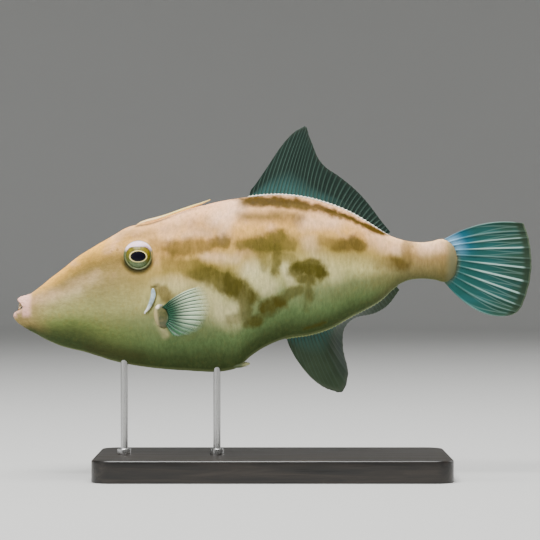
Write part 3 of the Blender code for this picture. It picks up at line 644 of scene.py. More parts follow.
class FishSettings(bpy.types.PropertyGroup):
    """Sizes and colours of the fish."""

    cream: bpy.props.FloatVectorProperty(
        name="Cream", description="Colour of the upper flank", subtype="COLOR", default=(0.78, 0.42, 0.115))
    cheek: bpy.props.FloatVectorProperty(
        name="Cheek", description="Colour of the cheek and lower flank", subtype="COLOR",
        default=(0.355, 0.345, 0.13))
    keel: bpy.props.FloatVectorProperty(
        name="Keel", description="Colour of the belly", subtype="COLOR", default=(0.085, 0.125, 0.042))
    olive: bpy.props.FloatVectorProperty(
        name="Olive", description="Colour of the blotches", subtype="COLOR", default=(0.080, 0.069, 0.009))
    brown: bpy.props.FloatVectorProperty(
        name="Brown", description="Colour of the bands on back and tail stalk", subtype="COLOR",
        default=(0.118, 0.080, 0.015))
    lip: bpy.props.FloatVectorProperty(
        name="Lip", description="Colour of the lips", subtype="COLOR", default=(1.0, 0.57, 0.45))
    scale_size: bpy.props.FloatProperty(
        name="Scale size", description="Width of the fine rough scales, in metres", subtype="DISTANCE",
        unit="LENGTH", default=0.0005)
    fin_dark: bpy.props.FloatVectorProperty(
        name="Fin", description="Colour of the dorsal membrane", subtype="COLOR",
        default=(0.013, 0.025, 0.019))
    fin_ray: bpy.props.FloatVectorProperty(
        name="Fin ray", description="Colour of the dorsal rays", subtype="COLOR",
        default=(0.046, 0.084, 0.066))
    tail_blue: bpy.props.FloatVectorProperty(
        name="Tail blue", description="Colour of the tail at its upper root", subtype="COLOR",
        default=(0.008, 0.17, 0.32))
    tail_ray: bpy.props.FloatVectorProperty(
        name="Tail ray", description="Colour of the tail rays", subtype="COLOR", default=(0.42, 0.62, 0.56))
    membrane: bpy.props.FloatProperty(
        name="Membrane", description="Thickness of a fin between its rays, in metres", subtype="DISTANCE",
        unit="LENGTH", default=0.00022)


class StandSettings(bpy.types.PropertyGroup):
    """Finish of the stand and the stage."""

    wood: bpy.props.FloatVectorProperty(
        name="Wood", description="Colour of the lacquered base", subtype="COLOR",
        default=(0.012, 0.011, 0.010))
    edge: bpy.props.FloatProperty(
        name="Edge", description="Rounding of the base's upper edges, in metres", subtype="DISTANCE",
        unit="LENGTH", default=0.0012)
    floor: bpy.props.FloatVectorProperty(
        name="Floor", description="Colour of the floor and backdrop", subtype="COLOR",
        default=(0.50, 0.50, 0.485))


def pit(surface, x, z, radius):
    """1 within a round spot seen from the side, 0 outside it."""
    right = surface.axis("X") - x * MM
    up = surface.axis("Z") - z * MM
    return ((right * right + up * up) ** 0.5).ramp(radius * 1.3 * MM, radius * 0.6 * MM)


def skin_material(fish):
    """Cream, tan and green skin with soft olive blotches and fine rough scales."""
    skin = Surface("scraper_skin", Specular_IOR_Level=0.05)
    height = skin.attribute("height")
    across = skin.axis("X")
    behind = across.ramp(-0.095, -0.05)
    streaks = skin.noise(260, 2, stretch=(1, 1, 0.16))
    level = height + (skin.noise(45, stretch=(1, 1, 0.6)) - 0.5) * 0.1 + (streaks - 0.5) * 0.025
    level = level - across.ramp(-0.082, -0.112) * (1 - height) * 0.1
    # Colours by height from keel to ridge, in the three gradients below: the skin's own green below and
    # cream above, darkened towards the keel with painted shade.
    body = skin.gradient(level, [
        (0, [c * 0.56 for c in fish.keel]), (0.08, [c * 0.78 for c in fish.keel]),
        (0.18, (0.135, 0.21, 0.076)), (0.33, (0.24, 0.285, 0.12)), (0.46, (0.58, 0.52, 0.205)),
        (0.62, (0.46, 0.335, 0.088)), (0.8, fish.cream), (1, (0.96, 0.52, 0.27))])
    face = skin.gradient(level, [
        (0, [c * 0.55 for c in fish.keel]), (0.12, (0.084, 0.11, 0.034)), (0.25, (0.17, 0.215, 0.064)),
        (0.42, fish.cheek), (0.6, (0.315, 0.25, 0.095)), (0.78, (0.325, 0.225, 0.072)),
        (0.9, (0.62, 0.345, 0.07)), (1, (1, 0.5, 0.09))])
    stalk = skin.gradient(level, [
        (0, (0.1, 0.11, 0.04)), (0.3, (0.27, 0.21, 0.08)), (0.6, (0.38, 0.235, 0.085)),
        (0.85, (0.68, 0.4, 0.17)), (1, (1, 0.62, 0.3))])
    jaw = across.ramp(-0.116, -0.134) * height.ramp(0, 0.32) * 0.75
    mottle = skin.noise(520, 4, 0.65, stretch=(1, 1, 0.6)).ramp(0.45, 0.8)
    clouds = skin.noise(80).ramp(0.5, 0.8)
    glow = skin.attribute("glow") * skin.noise(200, stretch=(1, 1, 0.5)).ramp(0.25, 0.6, 0.6, 1)
    dusk = skin.attribute("dusk") * skin.noise(170, stretch=(1, 1, 0.6)).ramp(0.25, 0.65, 0.75, 1)
    colour = skin.layers(
        face,
        (behind, body),
        (across.ramp(0.045, 0.08), stalk),
        (jaw, (0.43, 0.29, 0.115)),
        (mottle * level.ramp(0.1, 0.45, 0.1, 0.45), (0.3, 0.22, 0.05)),
        (clouds * level.ramp(0.55, 0.8) * 0.5, (0.98, 0.55, 0.36)),
        # Pale patches of the skin, and painted highlights on the upper back and tail stalk.
        (glow, skin.mix(level.ramp(0.48, 0.75), (0.77, 0.69, 0.35), (0.98, 0.62, 0.4))),
        # Soft brown marks, and painted shade along the snout in front of the eye.
        (dusk, (0.1, 0.07, 0.011)))
    ragged = (skin.noise(260, 4, 0.65, stretch=(1, 1, 0.7)) - 0.5) * 0.55 + (streaks - 0.5) * 0.1
    patchy = skin.noise(150, stretch=(1, 1, 0.6)).ramp(0.25, 0.6, 0.8, 1)
    brown = skin.mix(level.ramp(0.86, 0.97), fish.brown, (0.07, 0.038, 0.001))
    for key, tone in (("brown", brown), ("olive", fish.olive)):
        share = (skin.attribute(key) + ragged).ramp(0.26, 0.78) * skin.attribute(key + "_depth")
        colour = skin.mix(share * patchy.most(level.ramp(0.86, 0.94)), colour, tone)
    flecks = skin.noise(700, 3, 0.7, stretch=(0.5, 1, 1)) * (1 - behind)
    flecks = flecks + skin.noise(620, 3, 0.7, stretch=(1, 1, 0.3)) * behind
    specks = skin.cells(900).ramp(0.12, 0.34, 1, 0) * skin.noise(90, 2).ramp(0.5, 0.75)
    nostrils = pit(skin, *NOSTRILS[0]).most(pit(skin, *NOSTRILS[1]))
    creases = skin.noise(1100, 3, 0.6, stretch=(0.35, 1, 1))
    colour = skin.layers(
        skin.scaled(colour, flecks.ramp(0.25, 0.75, 0.84, 1.16)),
        (specks * 0.3 * level.ramp(0.15, 0.5), (0.22, 0.17, 0.05)),
        (height.ramp(0.022, 0.006) * 0.6, (0.17, 0.2, 0.085)),
        # Painted shade where the flesh rounds off at the end of the tail stalk.
        (across.ramp(0.0915, 0.097) * 0.8, (0.17, 0.175, 0.095)),
        # Painted shade in creases, nostrils, round and under the eye, at the gill opening and below the
        # spine.
        (skin.attribute("shade").most(nostrils * 0.3), (0.045, 0.04, 0.012)),
        # The lips, with painted shade in their creases.
        (skin.attribute("lip"), skin.mix(creases.ramp(0.5, 0.3) * 0.55, fish.lip, (0.62, 0.34, 0.2))),
        (skin.attribute("mouth"), (0.13, 0.06, 0.02)))
    fine = skin.bump(skin.cells(1 / fish.scale_size, stretch=(1, 1, 0.8)), 0.00013, 0.6)
    waves = skin.noise(210, 4, 0.6, stretch=(1, 1, 0.3)) - nostrils * 1.5
    folds = skin.bump(waves, 0.00035, 0.35, over=fine)
    wrinkles = skin.bump(creases * skin.attribute("lip"), 0.0007, 0.6, over=folds)
    skin.set(Base_Color=colour, Roughness=skin.noise(300, 2).ramp(0.2, 0.8, 0.44, 0.6), Normal=wrinkles)
    return skin.material


def lid_material():
    """The soft rim round an eye, olive, pink-white above where pale skin carries a painted highlight, and
    dark below with a painted shadow.
    """
    lid = Surface("scraper_eye_rim", Roughness=0.5, Specular_IOR_Level=0.15)
    around = lid.noise(400)
    colour = lid.layers(
        lid.mix(around.ramp(0.3, 0.7), (0.098, 0.12, 0.048), (0.165, 0.182, 0.08)),
        # The cap: pale skin with a painted highlight.
        (lid.attribute("cap"), lid.mix(around.ramp(0.4, 0.7), (1, 0.8, 0.92), (1, 0.66, 0.7))),
        # Painted shadow under the eye.
        (lid.attribute("under"), (0.026, 0.026, 0.006)))
    lid.set(Base_Color=colour, Normal=lid.pitted(1500, 3))
    return lid.material


def eye_material():
    """Black oval pupil in a pale gold ring, olive-gold iris that turns green-grey below."""
    eye = Surface(
        "scraper_eye", Roughness=0.35, Specular_IOR_Level=0.15, Coat_Weight=0.25, Coat_Roughness=0.05,
        Coat_IOR=1.35)
    pupil = eye.attribute("pupil")
    low = eye.attribute("low")
    spokes = eye.noise(900, 4, 0.7, distortion=0.6).ramp(0.3, 0.7)
    gold = eye.mix(spokes, (0.095, 0.075, 0.004), (0.27, 0.22, 0.02))
    green = eye.mix(spokes, (0.055, 0.078, 0.015), (0.14, 0.178, 0.046))
    grey = eye.mix(spokes, (0.1, 0.15, 0.065), (0.22, 0.29, 0.15))
    eye.set(Base_Color=eye.layers(
        gold,
        (low.ramp(-0.5, 0.25), green),
        (low.ramp(0.3, 0.9), grey),
        (eye.attribute("turn").ramp(0.55, 1) * 0.6, (0.2, 0.135, 0.003)),
        (pupil.ramp(1.19, 1.13) * pupil.ramp(0.98, 1.03) * 0.95, (0.92, 0.78, 0.3)),
        (pupil.ramp(1.03, 0.97), (0.002, 0.002, 0.006)),
        (eye.attribute("rim").ramp(0.9, 0.99), (0.05, 0.05, 0.02))))
    return eye.material


def tooth_material():
    """Off-white enamel with brown stains."""
    tooth = Surface("scraper_tooth", Roughness=0.25, Coat_Weight=0.5, Coat_Roughness=0.1)
    stain = tooth.noise(1400).ramp(0.35, 0.75)
    tooth.set(Base_Color=tooth.mix(stain * 0.45, (1, 0.8, 0.5), (0.42, 0.24, 0.09)))
    return tooth.material


def gill_material():
    """Pale blue-white skin edge."""
    gill = Surface("scraper_gill_edge", Roughness=0.3, Coat_Weight=0.4, Coat_Roughness=0.15)
    tone = gill.mix(gill.noise(500).ramp(0.3, 0.7), (0.33, 0.44, 0.5), (0.55, 0.7, 0.7))
    tone = gill.mix(gill.axis("Z").ramp(0.0935, 0.089), tone, (1, 1, 0.96))
    gill.set(Base_Color=tone, Normal=gill.pitted(1200))
    return gill.material


def pad_material():
    """Olive-brown pectoral pad with a cream rim."""
    pad = Surface("scraper_pectoral_pad", Roughness=0.42, Coat_Weight=0.2, Coat_Roughness=0.2)
    tone = pad.layers(
        pad.mix(pad.noise(450, 4).ramp(0.3, 0.7), (0.062, 0.072, 0.02), (0.135, 0.125, 0.043)),
        (pad.attribute("flesh"), (0.46, 0.38, 0.17)),
        (pad.attribute("knob"), (1, 0.86, 0.66)),
        (pad.attribute("teal"), (0.05, 0.2, 0.15)))
    pad.set(Base_Color=tone, Normal=pad.pitted(1600, 3, 0.00012, 0.5))
    return pad.material


def bone_material():
    """Pale yellow spine with browner streaks, and an olive spur under the belly."""
    bone = Surface("scraper_spine", Roughness=0.38, Coat_Weight=0.15, Coat_Roughness=0.2)
    grain = bone.noise(500, 4, 0.65, stretch=(0.12, 1, 1))
    cream = bone.mix(bone.axis("X").ramp(-0.066, -0.052), (1, 0.72, 0.34), (1, 0.8, 0.25))
    spur = bone.mix(bone.axis("X").ramp(-0.018, -0.0135), (0.1, 0.135, 0.05), (0.5, 0.5, 0.24))
    tone = bone.layers(
        cream, (grain.ramp(0.4, 0.8), (0.88, 0.52, 0.12)), (bone.axis("Z").ramp(0.075, 0.065), spur))
    bone.set(Base_Color=tone, Normal=bone.bump(grain, 0.0002, 0.5))
    return bone.material


def fin_material(name, membrane, ray, root, edge, fade):
    """A dark thin membrane with paler rays, its root's tone fading between two places along the fish, and
    painted shade where it bends away behind the body.
    """
    fin = Surface(name, Roughness=0.55, Specular_IOR_Level=0.12)
    out = fin.attribute("out")
    gap = fin.attribute("place").aside()
    # away: the part that bends to the far side, behind the body, is darkened with painted shade and its
    # rays made fainter.
    away = fin.axis("Y").ramp(0.003, 0.016)
    line = (gap / (0.26 - out * 0.08)).ramp(1, 0.3) * fin.attribute("bright") * (1 - away * 0.6)
    line = line * out.ramp(0.5, 1, 1, 0.7)
    tone = fin.layers(
        root,
        (out.ramp(0, 0.42).most(fin.axis("X").ramp(*fade)), membrane),
        (away * 0.6, (0.014, 0.038, 0.03)),
        (fin.noise(120).ramp(0.3, 0.8) * 0.35, [c * 1.7 for c in membrane]),
        (out.ramp(0.88, 1) * 0.7, edge),
        (line, ray))
    fin.set(Base_Color=tone, Alpha=(line + 0.97).least(1), Normal=fin.pitted(*FIN_GRAIN))
    return fin.material


def ring_places():
    """Rings of the skin behind the muzzle: the x of each."""
    places = []
    ends = [run[0] for run in SKIN_RUNS[1:]] + [BACK[-1][0]]
    for (start, step), end in zip(SKIN_RUNS, ends):
        count = max(1, round((end - start) / step))
        places += [start + (end - start) * i / count for i in range(count)]
    return places + [BACK[-1][0]]


def muzzle_ring(place):
    """One ring of the muzzle between the listed ones, as the seven sizes of a row."""
    rows = MUZZLE + [MUZZLE_END]
    k = min(int(place), len(rows) - 2)
    s = place - k
    before, a, b, after = rows[max(k - 1, 0)], rows[k], rows[k + 1], rows[min(k + 2, len(rows) - 1)]
    ring = []
    for p, q, r, t in zip(before, a, b, after):
        ring.append(q + 0.5 * s * (r - p + s * (2 * p - 5 * q + 4 * r - t + s * (3 * (q - r) + t - p))))
    return ring


class FISH_OT_skin(bpy.types.Operator):
    """Model the one skin of head, trunk, tail stalk and lips"""

    bl_idname = "fish.skin"
    bl_label = "Skin"

    def execute(self, context):
        fish = context.scene.fish_settings
        muzzle = [("muzzle", k / MUZZLE_STEPS) for k in range(len(MUZZLE) * MUZZLE_STEPS)]
        rings = muzzle + [("body", x) for x in ring_places()]

        def point(ring, angle):
            kind, x = ring
            up = -cos(angle)
            side = sin(angle)
            if kind == "muzzle":
                top_x, top_z, side_x, wide, side_z, low_x, low_z = muzzle_ring(x)
                far_x, far_z = (top_x, top_z) if up > 0 else (low_x, low_z)
                # The inner rings of the mouth are a little squarer than the lips.
                rise = abs(up) ** (1 - 0.3 * (1 - smooth(3, 6, x)))
                return side_x + (far_x - side_x) * abs(up), wide * side, side_z + (far_z - side_z) * rise
            t = (1 + up) / 2
            y = flank(x, t) * (1 if side > 0 else -1)
            return x, y, belly(x) + t * (back(x) - belly(x))

        end_x = BACK[-1][0]
        end = (end_x + 0.05, 0, (back(end_x) + belly(end_x)) / 2)
        bm = loft(rings, SKIN_AROUND, MOUTH_POLE, end, point)
        face_outwards(bm)
        bm.normal_update()
        places = [(vert, vert.co.copy(), vert.normal.copy()) for vert in bm.verts]
        marks = {}
        for vert, co, normal in places:
            x, y, z = co
            swell = relief(x, y, z) * smooth(-131, -127, x)
            swell += 0.28 * noise.noise((x / 1.3, y / 1.1, z / 1.9)) * (1 - smooth(-132, -128, x))
            vert.co = co + normal * swell
            for key, value in self.values(x, y, z).items():
                marks.setdefault(key, []).append(value)
        finish_piece(
            "skin", bm, skin_material(fish), "skin",
            ("head", "trunk", "tail_stalk", "upper_lip", "lower_lip"), marks)
        return {"FINISHED"}

    def values(self, x, y, z):
        """What the skin's material reads at a place."""
        low, high = belly(x), back(x)
        values = {"height": min(max((z - low) / (high - low), 0), 1), "shade": self.shade(x, y, z)}
        side = 5 if y > 0 else 0
        for key, rows in (("olive", OLIVE_MARKS), ("brown", BROWN_MARKS)):
            near, strength = marking(*seen(x, y, z), rows, side)
            values[key] = near
            values[key + "_depth"] = strength
        for key, rows in (("dusk", SOFT_BROWN_AND_SHADE_MARKS), ("glow", PALE_AND_HIGHLIGHT_MARKS)):
            values[key] = soft_marking(*seen(x, y, z), rows, side)
        corner = max(smooth(90, 91.5, z), smooth(-135.8, -133.8, x))
        upper = smooth(-128.8, -132.2, x) * smooth(84.5, 88, z) * corner
        lower = smooth(-136.6, -139, x) * smooth(84.5, 87, z)
        edge = 0.6 * smooth(86.6, 88.6, z) * smooth(-133.5, -136.5, x)
        values["lip"] = max(upper, lower, edge) * 0.92
        inside = abs(y) < 3.3 and 89.4 < z < 93.8
        values["mouth"] = smooth(-137.4, -134.6, x) * (x < -131) * inside
        return values

    def shade(self, x, y, z):
        """How dark the skin is in creases, round the eye and at the gill opening."""
        from_eye = hypot(x - EYE_CENTRE[0], z - EYE_CENTRE[2] + 0.8)
        dark = 0.95 * bell(from_eye - 7.8, 1.5) * smooth(1, -5, z - EYE_CENTRE[2])
        dark += 1 - smooth(6.9, 7.8, from_eye)
        if 85 < z < 107:
            aside = x - gill_path(z)
            dark += 0.5 * bell(aside - 1.5, 0.6) * smooth(86, 89, z) * (1 - smooth(99, 102, z))
            dark += 0.8 * bell(from_segment(x, z, GILL_HOOK), 0.9)
        if -76 < x < -32:
            line = bell(abs(y) - 2.75, 0.5) * smooth(back(x) - 5, back(x) - 3, z)
            line *= smooth(-75, -72, x) * (1 - smooth(-44, -38, x))
            dark += line * (0.8 - 0.4 * smooth(-63, -50, x))
        dark += 0.45 * bell(from_segment(x, z, THROAT_SHADE), 4)
        if x < -100:
            dark += 0.35 * bell(hypot(x + 133.6, z - 91.2), 1.2)
        return min(dark, 0.92)


def eye_depth(radius, up):
    """How far out the eyeball reaches at a radius from its axis, up being the height above it."""
    inside = max(1 - (radius / EYE_HALF[0]) ** 2, 0)
    return EYE_CENTRE[1] + EYE_HALF[1] * sqrt(inside) - up * sin(EYE_TILT)


class FISH_OT_eyes(bpy.types.Operator):
    """Model both eyes and the soft rims round them"""

    bl_idname = "fish.eyes"
    bl_label = "Eyes"

    def execute(self, context):
        ball, marks = self.ball()
        finish_pair("eyeball_", ball, eye_material(), "eyes", "eye_", marks)
        rim, marks = self.rim()
        finish_pair("eye_rim_", rim, lid_material(), "skin", marks=marks)
        return {"FINISHED"}

    def ball(self):
        """The eyeball of the left side, with the values that its material reads."""
        half_x, half_y, half_z = EYE_HALF
        bm = bmesh.new()
        bmesh.ops.create_uvsphere(bm, u_segments=96, v_segments=72, radius=1)

        def describe(co):
            right, up = co.x * half_x, co.y * half_z
            away = hypot(right, up)
            return {
                "pupil": hypot(right / PUPIL_HALF[0], (up + PUPIL_DOWN) / PUPIL_HALF[1]) if co.z > 0 else 9,
                "low": -up / half_z,
                "turn": abs(right) / max(away, 0.01) * (1 if right > 0 else 0.8),
                "rim": away / half_x if co.z > 0 else 1,
            }

        marks = collect(bm, describe)
        stand = Matrix.Translation((EYE_CENTRE[0], -EYE_CENTRE[1], EYE_CENTRE[2]))
        turn = Matrix.Rotation(-EYE_TILT, 4, "X") @ Matrix.Rotation(pi / 2, 4, "X")
        stretch = Matrix.Diagonal((half_x, half_z, half_y, 1))
        bmesh.ops.transform(bm, matrix=stand @ turn @ stretch, verts=bm.verts)
        return bm, marks

    def rim(self):
        """The closed ring of skin round the left eye, drawn down over its top as a lid."""
        bm = bmesh.new()
        bmesh.ops.create_grid(bm, x_segments=120, y_segments=20, size=0.5)
        for vert in bm.verts:
            angle = (vert.co.x + 0.5) * tau
            way = (vert.co.y + 0.5) * tau
            inner, outer = self.opening(sin(angle)), self.brow(sin(angle))
            share = 0.5 + 0.5 * cos(way)
            radius = inner + (outer - inner) * share
            x, z = EYE_CENTRE[0] + radius * cos(angle), EYE_CENTRE[2] + radius * sin(angle)
            skin_x, skin_z = EYE_CENTRE[0] + outer * cos(angle), EYE_CENTRE[2] + outer * sin(angle)
            skin_y = flank_at(skin_x, skin_z)
            outer_y = skin_y + relief(skin_x, -skin_y, skin_z) + 0.12
            inner_y = eye_depth(inner, inner * sin(angle)) + 0.1
            base = inner_y + (outer_y - inner_y) * share
            crest = 0.35 + 0.45 * max(sin(angle), 0)
            lift = crest * max(sin(way), 0) ** 0.7 + 0.8 * min(sin(way), 0)
            vert.co = (x, -(base + lift), z)
        bmesh.ops.remove_doubles(bm, verts=bm.verts, dist=0.0001)

        def describe(co):
            right, up = co.x - EYE_CENTRE[0], co.z - EYE_CENTRE[2]
            radius = hypot(right, up)
            inner, outer = self.opening(up / radius), self.brow(up / radius)
            share = (radius - inner) / (outer - inner)
            # cap: pale skin of the lid with a painted highlight; under: painted shadow below the eye.
            return {
                "cap": smooth(0.25, 0.62, up / radius) * (1 - smooth(0.8, 1.05, share)),
                "under": smooth(-0.2, 0.5, -up / radius) * smooth(0.25, 0.7, share),
            }

        return bm, collect(bm, describe)

    def opening(self, up):
        """Radius of the eye's opening where the sine of the angle is up: flattened by the lid above."""
        flat = LID_DROP / max(up, 0.01) + 0.35 * (1 - up * up)
        return (LID_INNER ** -8 + flat ** -8) ** (-1 / 8)

    def brow(self, up):
        """Outer radius of the rim, least below the eye."""
        return LID_OUTER - 0.25 * (1 - up)


class FISH_OT_mouth(bpy.types.Operator):
    """Model the front teeth that show between the lips"""

    bl_idname = "fish.mouth"
    bl_label = "Teeth"

    def execute(self, context):
        material = tooth_material()
        for node, root, tip in TEETH:
            front = Vector((root.z - tip.z, 0, tip.x - root.x)).normalized()
            row = bmesh.new()
            for y in TOOTH_PLACES:
                before = set(row.verts)
                bmesh.ops.create_cube(row, size=1)
                tooth = [vert for vert in row.verts if vert not in before]
                for vert in tooth:
                    s = vert.co.z + 0.5
                    deep, wide = vert.co.x * between(TOOTH_DEPTH, s), vert.co.y * between(TOOTH_WIDTH, s)
                    vert.co = root.lerp(tip, s) + front * deep + Vector((TEETH_CURVE * y * y, y + wide, 0))
                edges = {edge for vert in tooth for edge in vert.link_edges}
                round_edges(row, list(edges), TOOTH_ROUNDING, 3)
            finish_piece("front_" + node, row, material, "teeth", (node,))
        return {"FINISHED"}


class FISH_OT_gills(bpy.types.Operator):
    """Model the pale edge of each gill opening"""

    bl_idname = "fish.gills"
    bl_label = "Gill edges"

    def execute(self, context):
        low, high = GILL_PATH[0][0] - 0.6, GILL_PATH[-1][0] + 0.6
        middle = (low + high) / 2

        def point(s, angle):
            z = between((low, high), s)
            taper = sqrt(max(1 - abs((z - middle) / (high - low) * 2) ** 2.6, 0.0001))
            wide = GILL_WIDE * (0.72 + 0.45 * s) * taper
            x = gill_path(z)
            out = flank_at(x, z) + 0.35 + (0.75 * max(sin(angle), 0) + 0.6 * min(sin(angle), 0)) * taper
            return x + wide * cos(angle), -out - 0.25 * cos(angle) * taper, z

        rings = [0.5 - 0.5 * cos(pi * k / 41) for k in range(1, 41)]
        ends = [(gill_path(z), -flank_at(gill_path(z), z), z) for z in (low, high)]
        left = loft(rings, 24, *ends, point)
        finish_pair("gill_edge_", left, gill_material(), "gill_edge", "gill_flap_")
        return {"FINISHED"}


def pad_turn():
    """Turn and place of the left pectoral pad."""
    x, z = PAD_CENTRE
    return Matrix.Translation((x, -flank_at(x, z), z)) @ Matrix.Rotation(PAD_TILT, 4, "Y")


def off_ray(u, rays):
    """How far share u of a fin lies from the nearest of its rays, in spacings."""
    place = u * (rays - 1)
    return abs(place - round(place))


def ray_profile(away, width):
    """Height of a ray's ridge at a distance from its middle, in spacings."""
    return smooth(width, width * 0.25, away)


def scalloped(u, s, rays, depth, start):
    """A share of the way out, drawn in between the rays from start to the edge."""
    return s * (1 - depth * (2 * off_ray(u, rays)) ** 2 * smooth(start, 1, s))


def fin_piece(name, material, slot, nodes, rays, grid, point, ridge, thick, thin, side=-1):
    """A membrane from a grid with raised rays: point(u, s) places it, ridge(u, s) is 1 on a ray."""
    bm = bmesh.new()
    bmesh.ops.create_grid(bm, x_segments=(rays - 1) * grid[0], y_segments=grid[1], size=0.5)
    marks = {"place": [], "out": [], "bright": []}
    full = thick[0] * 1.5
    weights = []
    for vert in bm.verts:
        u = min(max(vert.co.x + 0.5, 0), 1)
        s = min(max(vert.co.y + 0.5, 0), 1)
        height, bright = ridge(u, s)
        bead = 1 + 0.5 * bell(s - 0.015, 0.02)
        weights.append(min(height * between(thick, s) * bead / full, 1))
        marks["place"].append(u * (rays - 1))
        marks["out"].append(s)
        marks["bright"].append(bright)
        vert.co = point(u, s)
    if side > 0:
        bmesh.ops.scale(bm, vec=(1, -1, 1), verts=bm.verts)
    obj = finish_piece(name, bm, material, slot, nodes, marks, closed=False)
    group = obj.vertex_groups.new(name="rays")
    for index, weight in enumerate(weights):
        group.add([index], weight, "REPLACE")
    solidify = obj.modifiers.new("thickness", "SOLIDIFY")
    solidify.thickness = full * MM
    solidify.offset = 0
    solidify.vertex_group = group.name
    solidify.thickness_vertex_group = thin / full
    return obj


def plain_rays(rays, seed):
    """Ridges of unbranched rays, each a little brighter or darker than the next."""
    draw = Random(seed)
    shades = [draw.uniform(0.75, 1) for _ in range(rays)]

    def ridge(u, s):
        return ray_profile(off_ray(u, rays), 0.24 - 0.07 * s), shades[round(u * (rays - 1))]

    return ridge


def median_point(base, tips, edge, up, wave):
    """The surface of the dorsal or anal fin, rooted just under the skin along an outline."""
    tip = tip_path(tips)
    rays = DORSAL_RAYS if up > 0 else ANAL_RAYS

    def point(u, s):
        x = between(base, u)
        foot = Vector((x, 0, edge(x)))
        slope = Vector((edge(x - 0.5) - edge(x + 0.5), 0, 1)).normalized()
        root = foot - slope * up * 0.5
        along = tip(x) - root
        s = scalloped(u, s, rays, 0.007, 0.5)
        bow = MEDIAN_BOW * min(1, along.length / MEDIAN_BOW_LENGTH)
        sway = wave * sin(u * 7.5 + 0.6) * s ** 1.5 * min(1, along.length / 25)
        return root + along * s - Vector((bow * 4 * s * (1 - s), -sway, 0))

    return point


class FISH_OT_median_fins(bpy.types.Operator):
    """Model the soft dorsal fin and the anal fin with their raised rays"""

    bl_idname = "fish.median_fins"
    bl_label = "Dorsal and anal fins"

    def execute(self, context):
        fish = context.scene.fish_settings
        thin = fish.membrane / MM
        material = fin_material(
            "scraper_dorsal_fin", fish.fin_dark, fish.fin_ray, (0.05, 0.145, 0.135), (0.03, 0.04, 0.03),
            (0.012, 0.045))
        fin_piece(
            "soft_dorsal_fin", material, "fin_membrane", ("dorsal_fin",), DORSAL_RAYS, MEDIAN_GRID,
            median_point(DORSAL_BASE, DORSAL_TIPS, back, 1, 1.2), plain_rays(DORSAL_RAYS, 4),
            MEDIAN_THICKNESS, thin)
        material = fin_material(
            "scraper_anal_fin", (0.034, 0.052, 0.028), (0.044, 0.07, 0.044), (0.042, 0.12, 0.108),
            (0.08, 0.095, 0.065), (0.04, 0.062))
        fin_piece(
            "soft_anal_fin", material, "fin_membrane", ("anal_fin",), ANAL_RAYS, MEDIAN_GRID,
            median_point(ANAL_BASE, ANAL_TIPS, belly, -1, 0.6), plain_rays(ANAL_RAYS, 5),
            MEDIAN_THICKNESS, thin)
        pale = ((0.98, 0.94, 0.86), (0.86, 0.76, 0.58))
        self.foot("dorsal_fin_foot", DORSAL_BASE, DORSAL_RAYS, back, 1, 0.58, pale)
        green = ((0.2, 0.27, 0.1), (0.3, 0.33, 0.13))
        self.foot("anal_fin_foot", ANAL_BASE, ANAL_RAYS, belly, -1, 0.5, green)
        return {"FINISHED"}

    def foot(self, name, base, rays, edge, up, radius, tones):
        """The beaded ridge along the foot of a fin."""
        foot = Surface("scraper_" + name, Roughness=0.4, Coat_Weight=0.15, Coat_Roughness=0.2)
        tone = foot.mix(foot.noise(600).ramp(0.3, 0.7), *tones)
        foot.set(Base_Color=tone, Normal=foot.pitted(1500))
        start, end = base[0] - 1, base[1] + 0.5
        pitch = (base[1] - base[0]) / (rays - 1)

        def point(x, angle):
            swell = radius * (1 + 0.34 * cos(tau * (x - base[0]) / pitch))
            swell *= smooth(start - 0.5, start + 2, x) * (1 - smooth(end - 12, end + 0.5, x) * 0.6)
            return x, swell * 1.25 * sin(angle), edge(x) + (0.12 + swell * cos(angle)) * up

        count = (rays + 1) * 8
        rings = [start + (end - start) * k / count for k in range(count + 1)]
        ends = [(x, 0, edge(x) + 0.1 * up) for x in (start - 0.2, end + 0.2)]
        finish_piece(name, loft(rings, 16, *ends, point), foot.material, "skin")


